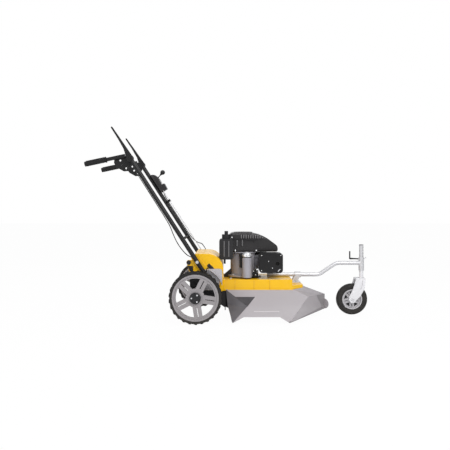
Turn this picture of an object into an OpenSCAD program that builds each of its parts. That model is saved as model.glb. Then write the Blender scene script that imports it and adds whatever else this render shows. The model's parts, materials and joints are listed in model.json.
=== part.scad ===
// Walk-behind wheeled trimmer for rough grass: a belt-driven cutter under a
// bow-fronted skirt, two driven rear wheels and one front castor.
// +X is forward, +Y is the operator's left, +Z is up, all lengths in millimetres.

/* [Wheels] */
// Outer diameter of a rear tyre, over its lugs
rear_wheel_d = 330; // [280:1:380]
// Width of a rear tyre
rear_tyre_w = 64; // [50:1:80]
// Distance between the middles of the rear tyres
track = 600; // [580:1:660]
// Outer diameter of the castor tyre
castor_d = 210; // [180:1:215]
// Width of the castor tyre
castor_w = 50; // [40:1:56]
// Rear axle to castor axle, along X
wheelbase = 1044; // [1030:1:1080]

/* [Deck and skirt] */
// Half width of the deck box
deck_half_w = 160; // [150:1:170]
// Height of the deck's lower edge
deck_bottom_z = 186; // [182:1:192]
// Height of the deck's top face
deck_top_z = 258; // [256:1:266]
// Sheet thickness of the deck and its cowl
sheet = 3; // [2:0.5:4]
// Half width of the skirt at its lower corners
skirt_half_w = 322; // [300:1:340]
// Wall of the skirt
skirt_wall = 4; // [3:0.5:6]
// Height of the skirt's lower corners above the ground
skirt_corner_z = 11; // [8:1:20]
// Height of the skirt's side edges above the ground
skirt_side_z = 42; // [30:1:60]

/* [Engine] */
// Crankshaft axis ahead of the rear axle
crank_x = 305; // [300:1:312]
// Cutter axis ahead of the rear axle
cutter_x = 450; // [440:1:470]
// Radius of the crankcase
crankcase_r = 84; // [76:1:86]
// Height of the engine above the deck, to the top of the starter cover
engine_h = 302; // [295:1:330]

/* [Cutter and drive] */
// Radius from the cutter axis to the tip of a trimmer line
line_tip_r = 245; // [200:1:255]
// Diameter of the trimmer line
line_d = 4; // [3:0.5:5]
// Pitch diameter of the crank pulley's cutter groove
crank_cutter_d = 80; // [70:1:84]
// Pitch diameter of the cutter pulley
cutter_pulley_d = 100; // [90:1:110]
// Pitch diameter of the crank pulley's traction groove
crank_drive_d = 60; // [56:1:70]
// Pitch diameter of the gearbox pulley
input_pulley_d = 120; // [110:1:126]
// Teeth on the worm wheel
worm_teeth = 20; // [18:1:22]
// Module of the worm wheel
worm_module = 2.6; // [2.4:0.1:2.8]

/* [Handlebar] */
// Diameter of the handlebar tube
bar_d = 28; // [24:1:30]
// Length of each straight bar
bar_len = 926; // [880:1:950]
// Slope of the bars from the ground, in degrees
bar_slope = 57.2; // [54:0.2:60]
// Length of a rubber grip
grip_len = 140; // [120:1:150]
// Outer diameter of a rubber grip
grip_d = 32; // [29:1:35]
// Drop of the grips towards the rear, in degrees
grip_drop = 12; // [8:1:16]
// Length of a hand lever from its pivot
lever_len = 230; // [200:1:250]

/* [Front arm] */
// Diameter of the front arm tube
arm_d = 27; // [24:1:30]
// Height of the arm's raised front run
arm_high_z = 350; // [340:1:360]
// Diameter of the castor's height post
post_d = 28; // [26:1:30]
// Distance that the castor trails behind its swivel
castor_trail = 66; // [60:1:72]

/* [Hidden] */
$fn = 64;
hull_fn = 32;
// Clearances and the one overrun that all cuts share
run_gap = 0.05;
seat_gap = 0.3;
free_gap = 2;
over = 1;

// Rear axle
axle_z = rear_wheel_d / 2;
axle_d = 20;
wheel_y = track / 2;
castor_x = wheelbase;
swivel_x = castor_x + castor_trail;

// Rear frame: two side plates outside the deck's wide tail
wheel_room = 62;
rear_half_w = wheel_y - rear_tyre_w / 2 - wheel_room;
plate_t = 5;
plate_back_x = -40;
plate_front_x = 150;
plate_rise = 132;
plate_top_z = deck_top_z + plate_rise;
plate_boss_r = 36;

// Deck plan and section
deck_tail_x = 45;
neck_run = 28;
deck_neck_x = plate_front_x + neck_run;
deck_step_x = 620;
deck_nose_x = 695;
deck_nose_half_w = 110;
step_drop = 38;
deck_step_z = deck_top_z - step_drop;
lip_rise = 12;
deck_lip_z = deck_bottom_z + lip_rise;
pad_h = 8;
pad_r = 112;
engine_z = deck_top_z + pad_h;

// Cowl over the rear belt
cowl_half_w = rear_half_w - seat_gap;
cowl_rise = 170;
cowl_top_z = deck_top_z + cowl_rise;
cowl_r = 103;
cowl_front_x = 173;
cowl_back_x = -8;
cowl_foot_rise = 4;
cowl_foot_z = deck_top_z + cowl_foot_rise;

// Skirt: plan stations along X and heights along Z
skirt_lap = 8;
skirt_top_z = deck_bottom_z + skirt_lap;
skirt_top_half_w = deck_half_w + seat_gap + skirt_wall;
skirt_rear_gap = 12;
skirt_rear_x = deck_neck_x + skirt_rear_gap;
skirt_fold_top_x = 420;
skirt_fold_mid_x = 325;
skirt_rear_corner_x = 231;
skirt_front_corner_x = 581;
skirt_nose_x = 861;
skirt_shoulder_z = 140;
skirt_bow_x = 716;
skirt_bow_z = 155;
skirt_mid_z = 100;
skirt_rear_in = 46;
skirt_nose_edge_z = 69;
skirt_band_r = 33;
skirt_band_t = 5;
skirt_flat_rear_x = 301;
skirt_flat_front_x = 524;

// Front arm and castor
arm_wall = 3;
arm_low_run_z = deck_top_z + arm_d / 2 + seat_gap;
arm_tail_x = 470;
arm_rise_x = 822;
arm_fall_x = 939;
arm_bend_r = 70;
sleeve_wall = 4;
sleeve_d = post_d + 2 * (run_gap + sleeve_wall);
sleeve_drop = 52;
sleeve_bottom_z = arm_high_z - sleeve_drop;
sleeve_rise = 38;
sleeve_top_z = arm_high_z + sleeve_rise;
post_rise = 86;
post_top_z = sleeve_top_z + post_rise;
post_bottom_z = sleeve_bottom_z;
post_hole_d = 9;
post_hole_pitch = 20;
post_holes = 4;
pin_turn = -40;
stem_d = 20;
crown_gap = 40;
fork_crown_z = castor_d + crown_gap;
fork_crown_t = 10;
fork_plate_t = 4;
fork_gap = 6;
fork_half_w = castor_w / 2 + fork_gap;
castor_axle_d = 12;
castor_axle_z = castor_d / 2;
castor_rim_share = 0.32;
castor_rim_r = castor_d * castor_rim_share;
castor_hub_r = 19;

// Handlebar: distances along a bar from its foot, and square to it
foot_x = 76;
foot_rise = 12;
foot_z = deck_top_z + foot_rise;
hub_drop = 15;
hub_s = bar_len - hub_drop;
bar_y = rear_half_w + plate_t + bar_d / 2 + seat_gap;
bar_bolt_d = 10;
bar_bolt_s = [18, 128];
hub_x = foot_x - hub_s * cos(bar_slope);
hub_z = foot_z + hub_s * sin(bar_slope);
grip_tube_d = 24;
grip_tube_len = 262;
grip_start = 34;
arm_plate_t = 4;
arm_plate_y = bar_y - bar_d / 2 - seat_gap - arm_plate_t;
grip_y = arm_plate_y + grip_tube_d / 2;
grip_lift = 18;
lever_t = 8;
lever_y = bar_y + bar_d / 2 + 2 * seat_gap;
lever_base_r = 22;
lever_tip_r = 5;
lever_angles = [121.5, 122.5];
pivot_d = 8;
grip_end_x = hub_x - grip_start - grip_tube_len * cos(grip_drop) - grip_d / 2 * sin(grip_drop);

// The part's origin lies on the ground, midway between the grips and the castor
front_end_x = castor_x + castor_d / 2;
frame_x = -(front_end_x + grip_end_x) / 2;

// Control box on the left bar, its gear lever and rod
box_drop = 259;
box_s = bar_len - box_drop;
box_len = 146;
box_t = 42;
box_w = 80;
box_wall = 3;
shift_drop = 46;
shift_s = box_s + box_len - shift_drop;
shift_share = 0.45;
shift_n = bar_d / 2 + box_t * shift_share;
shift_lean = 16;
shift_len = 67;
shift_d = 7;
knob_d = 34;
rod_d = 6;
rod_inset = 11;
rod_y = rear_half_w - rod_inset;
rod_stand = 18;
rod_n = bar_d / 2 + rod_stand;
rod_foot_s = 150;

// Engine
base_flange_t = 10;
base_flange_r = 104;
case_flange_t = 6;
case_h = 164;
case_top_z = engine_z + case_h;
shroud_bottom_z = case_top_z + seat_gap;
cover_h = 47;
shroud_top_z = deck_top_z + engine_h - cover_h;
shroud_r = 96;
shroud_reach = 234;
shroud_nose_x = crank_x + shroud_reach;
shroud_nose_r = 54;
shroud_wall = 3;
cylinder_rise = 90;
cylinder_z = engine_z + cylinder_rise;
cylinder_r = 32;
fin_count = 7;
fin_pitch = 9;
fin_t = 3;
fin_half = 46;
cylinder_sink = 22;
cylinder_x0 = crank_x + crankcase_r - cylinder_sink;
crank_d = 25;
flywheel_r = 82;

// Belts and pulleys
drive_belt_rise = 46;
drive_belt_z = deck_bottom_z + drive_belt_rise;
cutter_belt_rise = 22;
cutter_belt_z = deck_bottom_z + cutter_belt_rise;
belt_w = 10;
belt_h = 8;
groove_gap = 0.4;
pulley_lip = 4;
worm_pitch_d = 24;
input_x = (worm_teeth * worm_module + worm_pitch_d) / 2;

// Cutter head
cutter_disc_z = 66;
cutter_disc_r = 95;
cutter_disc_t = 14;
spindle_d = 20;
line_count = 4;
line_root_r = 60;

// Fasteners
bolt_washer_t = 1.6;
bolt_head_share = 1.7;
bolt_head_h_share = 0.65;
engine_bolt_d = 8;
engine_bolt_r = 94;
engine_bolt_tail = 10;
small_bolt_d = 6;

// Deck details
crank_hole_d = 60;
deck_rib_x = [248, 371, 472];
deck_rib_w = 6;
deck_rib_t = 3;
deck_rib_foot = 14;

// Side plate outline, and the knob that holds the cowl
plate_mid_rise = 42;
plate_mid_z = deck_top_z + plate_mid_rise;
plate_top_x = 22;
plate_nose_rise = 44;
plate_nose_z = deck_top_z + plate_nose_rise;
plate_knob_x = -48;
plate_knob_rise = 116;
plate_knob_z = deck_top_z + plate_knob_rise;
plate_knob_r = 15;
knob_stud_d = 8;
knob_head_d = 27;
knob_head_t = 16;
axle_bush_d = 28;

// Cowl window and knee
cowl_knee_rise = 72;
cowl_knee_z = deck_top_z + cowl_knee_rise;
cowl_window_x = 62;
cowl_window_rise = 66;
cowl_window_z = deck_top_z + cowl_window_rise;
cowl_window_w = 46;
cowl_window_h = 40;
cowl_window_shares = [[0, 0], [1, 0], [0.5, 1]];
rod_slot_len = 64;

// Wheel guards
guard_x = 65;
guard_rise = 27;
guard_z = deck_bottom_z + guard_rise;
guard_len = 101;
guard_h = 120;
guard_corner_r = 18;
guard_y = rear_half_w + plate_t + seat_gap;
guard_t = 3;
guard_w = 40;
guard_clear = 18;
guard_r = rear_wheel_d / 2 + guard_clear;
guard_cut_clear = 11;
guard_cut_r = rear_wheel_d / 2 + guard_cut_clear;

// Rear flap
flap_gap = 4;
flap_x = deck_neck_x + flap_gap;
flap_t = 5;
flap_half_w = 190;
flap_bottom_z = 62;
flap_corner_r = 18;
wing_len = 42;
wing_back_z = 112;

// Skirt shares
skirt_slant_share = 1.4;
skirt_bow_share = 0.55;
skirt_corner_in = 6;
skirt_front_lap = 14;
skirt_front_z = deck_bottom_z + skirt_front_lap;
skirt_rear_lean = 10;

// Arm saddle and height pin
saddle_x = 632;
saddle_len = 60;
saddle_web_len = 38;
saddle_lean = 26;
saddle_half_w = 20;
saddle_foot_half_w = 42;
saddle_foot_t = 6;
saddle_bolt_y = 32;
pin_d = 9;
pin_drop = 12;
pin_z = sleeve_top_z - pin_drop;
pin_len = 70;
pin_handle_h = 54;

// Engine details
cylinder_end_x = cylinder_x0 + fin_count * fin_pitch;
head_len = 52;
head_fins = 5;
plug_r = 8;
plug_len = 30;
shroud_fall_x = 176;
shroud_fall = 36.7;
shroud_eye_r = 70;
cover_r = 88;
cover_reach = 185;
cover_nose_x = crank_x + cover_reach;
cover_nose_r = 46;
cover_foot_h = 12;
louvre_back = 20;
louvre_x = crank_x - louvre_back;
louvres = 9;
louvre_pitch = 13;
louvre_w = 6;
louvre_h = 22;
flywheel_z = 14;
flywheel_t = 26;
crank_nut_h = 16;
blades = 12;

// Fuel tank and cap
tank_x = 146;
tank_len = 90;
tank_rise = 120;
tank_z = engine_z + tank_rise;
tank_h = 134;
tank_edge_r = 16;
tank_in_y = 55;
tank_out_y = 150;
tank_wall = 4;
tank_gap = 3;
tank_hold_in = 24;
tank_neck_x = 192;
tank_neck_r = 18;
tank_neck_h = 14;
cap_r = 27;
cap_h = 28;
cap_top_r = 12;
cap_top_h = 50;
cap_ribs = 18;
cap_rib_w = 3;

// Silencer and its guard
muffler_x = 412;
muffler_len = 140;
muffler_rise = 41;
muffler_z = engine_z + muffler_rise;
muffler_h = 116;
muffler_in_y = 70;
muffler_out_y = 157;
muffler_edge_r = 14;
muffler_guard_gap = 5;
muffler_guard_t = 2;
muffler_guard_d = 80;
exhaust_d = 22;
exhaust_share = 0.3;
guard_post_d = 10;
guard_screw_shares = [[0.12, 0.12], [0.88, 0.12], [0.12, 0.88], [0.88, 0.88]];
port_d = 26;
port_shares = [0.8, 0.46];

// Oil filler, starter motor and air filter
oil_x = 290;
oil_y = 97;
oil_d = 22;
oil_rise = 62;
oil_z = engine_z + oil_rise;
oil_top_rise = 154;
oil_top_z = engine_z + oil_top_rise;
oil_cap_d = 26;
oil_cap_h = 16;
oil_seat_y = crankcase_r + seat_gap;
starter_x = 327;
starter_y = 124;
starter_r = 31;
starter_h = 170;
starter_dome_h = 12;
starter_lug_w = 20;
starter_lug_z = 60;
starter_lug_h = 40;
filter_x = 392;
filter_y = 86;
filter_rise = 52;
filter_z = engine_z + filter_rise;
filter_len = 92;
filter_w = 62;
filter_h = 100;
filter_edge_r = 16;

// Pulleys and belt tensioners
pulley_rise = 4;
idler_pivot_d = 8;
idler_roller_r = 16;
idler_roller_h = 14;
idler_boss_r = 10;
idler_arm_w = 14;
idler_arm_t = 4;
idler_gap = 10;
idler_arm_low_z = cutter_belt_z + idler_roller_h / 2;
cutter_idler_pivot = [325, 126];
traction_idler_pivot = [222, -115];
cutter_idler_roller = [(crank_x + cutter_x) / 2, (crank_cutter_d + cutter_pulley_d) / 4 + belt_h / 2 + idler_roller_r + idler_gap];
traction_idler_roller = [(input_x + crank_x) / 2, -((crank_drive_d + input_pulley_d) / 4 + belt_h / 2 + idler_roller_r + idler_gap)];

// Cutter spindle and head
spindle_bolt_r = 38;
spindle_flange_r = 48;
spindle_flange_t = 8;
spindle_barrel_r = 22;
spindle_barrel_h = 34;
spindle_bush_d = 32;
spindle_bush_h = 12;
cutter_nut_h = 14;
cutter_nut_r = 16;
cutter_hub_r = 30;
cutter_hub_h = 40;
line_turn = 20;

// Worm gearbox
worm_addendum = 1.8;
worm_dedendum = 3.2;
worm_wheel_d = worm_teeth * worm_module + 2 * worm_addendum;
worm_root_r = worm_teeth * worm_module / 2 - worm_dedendum;
worm_face = 10;
worm_len = 30;
worm_throw = 2.2;
worm_slices = 48;
worm_fn = 16;
worm_tooth_shares = [[0, 0.24], [1, 0.1], [1, -0.1], [0, -0.24]];
case_back = 36;
case_front = 24;
case_low = 38;
case_high = 42;
case_half_w = 30;
case_room = 1.5;
axle_tube_d = 34;
axle_flange_t = 6;
axle_room = 1;
axle_proud = 4;
axle_tail = rear_tyre_w / 2 + axle_proud;
input_d = 16;
input_bush_d = 24;
input_bush_h = 14;

// Rear wheels
tyre_depth = 20;
rim_r = rear_wheel_d / 2 - tyre_depth;
rim_band = 12;
rim_inset = 6;
rim_w = rear_tyre_w - rim_inset;
rim_hole_r = 58;
rim_hub_r = 30;
rim_web = 16;
rim_web_up = 8;
spokes = 5;
spoke_w = 52;
spoke_slot = 5;
lug_h = 6;
rear_lugs = 20;
lug_share = 0.5;
tyre_edge = 10;
cap_disc_r = 35;
cap_disc_t = 6;
cap_dome_h = 6;
cap_screw_r = 27;
cap_screw_d = 7;
cap_screw_h = 1.5;

// Castor
fork_shares = [
  [0.33, 1], [1.29, 1], [1.24, 0.585], [0.79, 0.178], [0.17, -0.126],
  [-0.12, -0.178], [-0.39, -0.022], [-0.38, 0.126], [0.015, 0.51]
];
fork_eye_r = 22;
fork_crown_back = 44;
fork_crown_front = 19;
stem_top_z = pin_z - 12;
castor_nut_h = 8;
castor_nut_d = 20;
castor_hub_w = 2 * fork_half_w - 2 * free_gap;
castor_band = 8;
castor_side_in = 8;
castor_hole_r = 26;
castor_web = 14;
castor_spoke_w = 32;
castor_slot = 4;
castor_edge = 14;

// Grip arms, grips and levers
bar_wall = 2.5;
brace_s = 300;
brace_d = 18;
pivot_tail = 6;
arm_boss_r = 20;
arm_plate_len = 110;
arm_plate_shares = [
  [0.1, 0.15], [-0.3, 0.16], [-0.95, 0.02], [-0.98, -0.25], [-0.8, -0.52],
  [-0.4, -0.74], [-0.15, -0.72], [0.14, -0.1]
];
stop_hole_angles = [190, 217, 245];
stop_hole_r = 68;
stop_hole_d = 12;
grip_end_t = 6;
grip_collar_d = 38;
grip_collar_h = 6;
grip_rings = 8;
grip_ring_pitch = 14;
grip_ring_d = grip_d + 1.6;
grip_ring_h = 6;
lever_shares = [[0, 0.95], [0.3, 0.16], [0.6, 0.02], [0.978, 0.06], [0.978, -0.4], [0.6, -0.62], [0.3, -0.78], [0, -0.95]];
lever_tip_rise_share = -0.17;

// Control box details, the rod's clip and the cables
box_nose_s = 10;
box_nose_len = 60;
box_nose_n = 18;
shift_slot = 50;
shift_boss_d = 14;
rod_top_s = shift_s - shift_boss_d / 2 - 14;
rod_cowl_s = (cowl_top_z - foot_z - rod_n * cos(bar_slope)) / sin(bar_slope);
rod_top_x = foot_x - rod_cowl_s * cos(bar_slope) + rod_n * sin(bar_slope);
cable_head = 66;
cable_out = 2;
cable_turn = 27;
cable_run = 57;
clip_s = 578;
clip_len = 16;
clip_edge = 8;
cable_d = 6;

yellow = [0.99, 0.77, 0.14];
black = [0.09, 0.09, 0.1];
dark = [0.2, 0.2, 0.21];
silver = [0.69, 0.66, 0.68];
steel = [0.62, 0.63, 0.64];
cast = [0.75, 0.75, 0.76];
smoke = [0.75, 0.72, 0.73];

// Moves a piece from the rear axle's datum to the part's origin.
module placed() translate([frame_x, 0, 0]) children();

// A copy of the right-hand piece on each side.
module both_sides() {
  children();
  mirror([0, 1, 0]) children();
}

// An XZ outline given thickness between two places along Y.
module side_plate_of(y0, y1) translate([0, y1, 0]) rotate([90, 0, 0]) linear_extrude(y1 - y0) children();

// A round bar along Y.
module cross_bar(d, y0, y1) translate([0, y0, 0]) rotate([-90, 0, 0]) cylinder(d = d, h = y1 - y0);

// A plan outline round two unequal circles and their common tangents.
module loop_plan(x1, r1, x2, r2) {
  lean = acos((r1 - r2) / (x2 - x1));
  translate([x1, 0]) circle(r = r1);
  translate([x2, 0]) circle(r = r2);
  polygon([for (p = [[x1, r1, 1], [x1, r1, -1], [x2, r2, -1], [x2, r2, 1]])
    [p[0] + (p[1] - run_gap) * cos(lean), p[2] * (p[1] - run_gap) * sin(lean)]]);
}

// A belt round two pulleys, the first of them nearer the rear.
module belt(x1, d1, x2, d2, z) translate([0, 0, z - belt_w / 2]) linear_extrude(belt_w) difference() {
  loop_plan(x1, (d1 + belt_h) / 2, x2, (d2 + belt_h) / 2);
  loop_plan(x1, (d1 - belt_h) / 2, x2, (d2 - belt_h) / 2);
}

// A grooved pulley on a vertical axis, centred on its belt.
module pulley(d) difference() {
  cylinder(d = d + pulley_rise, h = belt_w + 2 * pulley_lip, center = true);
  rotate_extrude() translate([(d - belt_h) / 2 - groove_gap, -belt_w / 2 - groove_gap])
    square([belt_h + pulley_rise, belt_w + 2 * groove_gap]);
}

// Places a piece at a distance along a bar and square to it, with its Z along the bar.
module at_bar(s, n, y) translate([
  foot_x - s * cos(bar_slope) + n * sin(bar_slope), y, foot_z + s * sin(bar_slope) + n * cos(bar_slope)
]) rotate([0, bar_slope - 90, 0]) children();

// A box with rounded upright edges.
module rounded_box(size, r) linear_extrude(size[2]) rounded_plan(size[0], size[1], r);

module rounded_plan(w, h, r) {
  translate([r, 0]) square([w - 2 * r, h]);
  translate([0, r]) square([w, h - 2 * r]);
  for (x = [r, w - r], y = [r, h - r]) translate([x, y]) circle(r = r);
}

// A hexagon-headed bolt standing on the plane of its washer, shank down.
module bolt(d, len) {
  translate([0, 0, -len]) cylinder(d = d, h = len);
  cylinder(d = 2 * d, h = bolt_washer_t);
  translate([0, 0, bolt_washer_t]) cylinder(d = bolt_head_share * d, h = d * bolt_head_h_share, $fn = 6);
}

// Deck box, its outline drawn in by a wall on all sides but the open tail
function deck_edge(inset, tail_x) = [
  [tail_x, rear_half_w - inset], [plate_front_x, rear_half_w - inset], [deck_neck_x, deck_half_w - inset],
  [deck_step_x, deck_half_w - inset], [deck_nose_x - inset, deck_nose_half_w - inset]
];

module deck_outline(inset, tail_x) {
  edge = deck_edge(inset, tail_x);
  count = len(edge);
  polygon([for (i = [0 : 2 * count - 1])
    i < count ? edge[i] : [edge[2 * count - 1 - i][0], -edge[2 * count - 1 - i][1]]]);
}

module deck() placed() color(yellow) difference() {
  union() {
    difference() {
      translate([0, 0, deck_bottom_z]) linear_extrude(deck_top_z - deck_bottom_z) deck_outline(0, deck_tail_x);
      translate([deck_step_x, -deck_half_w - over, deck_step_z])
        cube([deck_nose_x, 2 * (deck_half_w + over), deck_top_z]);
    }
    translate([crank_x, 0, deck_top_z - over]) cylinder(r = pad_r, h = pad_h + over);
    both_sides() for (x = deck_rib_x) translate([x, deck_half_w - over, deck_bottom_z + deck_rib_foot])
      cube([deck_rib_w, deck_rib_t + over, deck_top_z - deck_bottom_z - deck_rib_foot]);
  }
  translate([0, 0, deck_bottom_z - over]) linear_extrude(deck_top_z - deck_bottom_z - sheet + over) intersection() {
    deck_outline(sheet, deck_tail_x - over);
    translate([deck_tail_x - over, -rear_half_w]) square([deck_step_x - sheet - deck_tail_x + over, 2 * rear_half_w]);
  }
  translate([0, 0, deck_bottom_z - over]) linear_extrude(deck_step_z - deck_bottom_z - sheet + over)
    deck_outline(sheet, deck_tail_x - over);
  translate([crank_x, 0, deck_bottom_z]) cylinder(d = crank_hole_d, h = deck_top_z);
  engine_bolt_places() translate([0, 0, -deck_top_z]) cylinder(d = engine_bolt_d + 2 * seat_gap, h = 2 * deck_top_z);
  spindle_bolt_places() translate([0, 0, -sheet - over]) cylinder(d = small_bolt_d + 2 * seat_gap, h = deck_top_z);
  idler_pivot_places() translate([0, 0, -sheet - over]) cylinder(d = idler_pivot_d + 2 * seat_gap, h = deck_top_z);
  saddle_bolt_places() translate([0, 0, -sheet - over]) cylinder(d = small_bolt_d + 2 * seat_gap, h = deck_top_z);
}

module engine_bolt_places() for (a = [45 : 90 : 315]) translate([crank_x, 0, engine_z + base_flange_t])
  rotate([0, 0, a]) translate([engine_bolt_r, 0, 0]) children();
module spindle_bolt_places() for (a = [45 : 90 : 315]) translate([cutter_x, 0, deck_top_z])
  rotate([0, 0, a]) translate([spindle_bolt_r, 0, 0]) children();
module idler_pivot_places() for (p = [cutter_idler_pivot, traction_idler_pivot])
  translate([p[0], p[1], deck_top_z]) children();
module saddle_bolt_places() for (side = [1, -1])
  translate([saddle_x + saddle_len / 2, side * saddle_bolt_y, deck_step_z]) children();

// Rear side plates, from the axle up to the foot of the bars
module plate_outline() difference() {
  union() {
    translate([0, axle_z]) circle(r = plate_boss_r);
    polygon([
      [-plate_boss_r, axle_z], [plate_back_x, plate_mid_z], [plate_knob_x - plate_knob_r, plate_knob_z],
      [plate_knob_x, plate_knob_z + plate_knob_r], [plate_top_x, plate_top_z], [foot_x + plate_boss_r, foot_z + plate_boss_r],
      [plate_front_x, plate_nose_z], [plate_front_x, deck_bottom_z], [plate_boss_r, axle_z]
    ]);
    translate([plate_knob_x, plate_knob_z]) circle(r = plate_knob_r);
  }
  translate([0, axle_z]) circle(d = axle_bush_d + 2 * run_gap);
  for (s = bar_bolt_s) translate([foot_x - s * cos(bar_slope), foot_z + s * sin(bar_slope)])
    circle(d = bar_bolt_d + 2 * seat_gap);
  translate([plate_knob_x, plate_knob_z]) circle(d = knob_stud_d + 2 * run_gap);
}
module side_plates() placed() color(yellow) both_sides()
  side_plate_of(-rear_half_w - plate_t, -rear_half_w) plate_outline();

// Cowl over the rear belt: a bent sheet with side walls
module cowl_outline(inset) {
  corner_x = cowl_front_x - cowl_r;
  corner_z = cowl_top_z - cowl_r;
  polygon([
    [plate_back_x + inset, cowl_foot_z - over * (inset > 0 ? 1 : 0)], [plate_back_x + inset, cowl_knee_z],
    [cowl_back_x + inset, cowl_top_z - inset], [corner_x, cowl_top_z - inset],
    for (a = [90 : -6 : 0]) [corner_x + (cowl_r - inset) * cos(a), corner_z + (cowl_r - inset) * sin(a)],
    [cowl_front_x - inset, cowl_foot_z - over * (inset > 0 ? 1 : 0)]
  ]);
}
module belt_cowl() placed() color(yellow) difference() {
  side_plate_of(-cowl_half_w, cowl_half_w) cowl_outline(0);
  side_plate_of(-cowl_half_w + sheet, cowl_half_w - sheet) cowl_outline(sheet);
  translate([rod_top_x - rod_slot_len / 2, rod_y - rod_d, cowl_top_z - 2 * sheet])
    cube([rod_slot_len, 2 * rod_d, sheet * 3]);
  side_plate_of(-cowl_half_w - over, cowl_half_w + over)
    polygon([for (p = cowl_window_shares) [cowl_window_x + p[0] * cowl_window_w, cowl_window_z + p[1] * cowl_window_h]]);
  translate([plate_knob_x, 0, plate_knob_z]) cross_bar(2 * knob_stud_d, -cowl_half_w - over, cowl_half_w + over);
}

// Guards between the wheels and the deck
module wheel_guards() placed() color(silver) both_sides() {
  side_plate_of(-guard_y - guard_t, -guard_y) guard_outline();
  intersection() {
    side_plate_of(-guard_y - guard_w, -guard_y) difference() {
      translate([0, axle_z]) circle(r = guard_r + guard_t);
      translate([0, axle_z]) circle(r = guard_r);
    }
    side_plate_of(-guard_y - guard_w - over, -guard_y + over) guard_outline();
  }
}
module guard_outline() difference() {
  translate([guard_x, guard_z]) rounded_plan(guard_len, guard_h, guard_corner_r);
  translate([0, axle_z]) circle(r = guard_cut_r);
}

// Flap of rubber behind the cutter
module rear_flap() placed() color(black) {
  translate([flap_x, 0, 0]) rotate([90, 0, 90]) linear_extrude(flap_t) {
    translate([-flap_half_w, flap_bottom_z + flap_corner_r]) square([2 * flap_half_w, deck_bottom_z - flap_bottom_z - flap_corner_r - seat_gap]);
    translate([-flap_half_w, flap_bottom_z]) rounded_plan(2 * flap_half_w, 2 * flap_corner_r + over, flap_corner_r);
  }
  both_sides() side_plate_of(-flap_half_w, -flap_half_w + flap_t) polygon([
    [flap_x + flap_t, deck_bottom_z - seat_gap], [flap_x - wing_len, deck_bottom_z - seat_gap],
    [flap_x - wing_len, wing_back_z], [flap_x + flap_t, flap_bottom_z + flap_corner_r]
  ]);
}

// Skirt: rings of stations from the rear edge round to the nose, for one half
function skirt_rings(inset, drop, back) = let (
  top_y = skirt_top_half_w - inset,
  side = skirt_half_w - inset * skirt_slant_share,
  nose = skirt_nose_x - inset * skirt_slant_share,
  mid_y = top_y + (side - top_y) * (skirt_top_z - skirt_mid_z) / (skirt_top_z - skirt_corner_z),
  nose_in = deck_nose_x + seat_gap + skirt_wall - inset,
  bow_x = skirt_bow_x - inset,
  bow_y = top_y + (side - top_y) * (skirt_top_z - skirt_bow_z) / (skirt_top_z - skirt_corner_z)
) [
  [[skirt_rear_x - back, top_y, skirt_top_z], [skirt_fold_top_x, top_y, skirt_top_z], [deck_step_x + skirt_corner_in, top_y, skirt_top_z],
   [nose_in, deck_nose_half_w + seat_gap + skirt_wall - inset, skirt_front_z], [nose_in, 0, skirt_front_z]],
  [[skirt_rear_x + skirt_rear_lean - back, mid_y - skirt_rear_in, skirt_mid_z], [skirt_fold_mid_x, mid_y, skirt_mid_z],
   [bow_x, bow_y, skirt_bow_z - inset],
   [(bow_x + nose) / 2, bow_y / 2, (skirt_bow_z + skirt_shoulder_z) / 2 - inset], [nose, 0, skirt_shoulder_z - inset]],
  [[skirt_rear_corner_x - skirt_rear_lean - back, side - 2 * skirt_rear_in, skirt_corner_z - drop], [skirt_rear_corner_x, side, skirt_corner_z - drop],
   [skirt_front_corner_x, side, skirt_corner_z - drop],
   [skirt_front_corner_x + (nose - skirt_front_corner_x) * skirt_bow_share, side * (1 - skirt_bow_share), skirt_corner_z - drop],
   [nose, 0, skirt_corner_z - drop]]
];
module skirt_body(inset, rise, drop, back) {
  half = skirt_rings(inset, drop, back);
  count = len(half[0]);
  around = 2 * count - 1;
  lifted = [for (k = [0 : 2]) [for (i = [0 : around - 1])
    let (m = i < count ? i : around - 1 - i, p = half[k][m])
      [p[0], i < count ? p[1] : -p[1], p[2] + (k == 0 ? rise : 0)]]];
  points = concat(lifted[0], lifted[1], lifted[2]);
  polyhedron(points, concat(
    [[for (i = [0 : around - 1]) i]],
    [[for (i = [around - 1 : -1 : 0]) 2 * around + i]],
    [for (k = [0, 1], i = [0 : around - 1]) let (j = (i + 1) % around) [k * around + j, k * around + i, (k + 1) * around + i]],
    [for (k = [0, 1], i = [0 : around - 1]) let (j = (i + 1) % around) [k * around + j, (k + 1) * around + i, (k + 1) * around + j]]
  ));
}
module skirt_trim() side_plate_of(-skirt_half_w - over, skirt_half_w + over) polygon([
  [skirt_rear_corner_x, -skirt_side_z], [skirt_rear_corner_x, skirt_corner_z], [skirt_flat_rear_x, skirt_side_z], [skirt_flat_front_x, skirt_side_z],
  [skirt_front_corner_x, skirt_corner_z], [skirt_nose_x + skirt_band_r, skirt_nose_edge_z], [skirt_nose_x + skirt_band_r, -skirt_side_z]
]);
module skirt() placed() color(smoke) {
  difference() {
    skirt_body(0, 0, 0, 0);
    skirt_body(skirt_wall, over, over, over);
    skirt_trim();
  }
  both_sides() skirt_band();
}
// The band along the front edge, widening from the corner to a round nose
module skirt_band() {
  run = sqrt(pow(skirt_nose_x - skirt_front_corner_x, 2) + pow(skirt_half_w, 2));
  turn = atan2(skirt_half_w, skirt_nose_x - skirt_front_corner_x);
  translate([skirt_front_corner_x, -skirt_half_w, 0]) rotate([0, 0, turn])
    translate([0, skirt_band_t - over, 0]) rotate([90, 0, 0]) linear_extrude(skirt_band_t) hull() {
      translate([skirt_band_t, skirt_corner_z + skirt_band_t]) circle(r = skirt_band_t, $fn = hull_fn);
      translate([run, skirt_nose_edge_z + skirt_band_t]) circle(r = skirt_band_r, $fn = hull_fn);
    }
}

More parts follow.
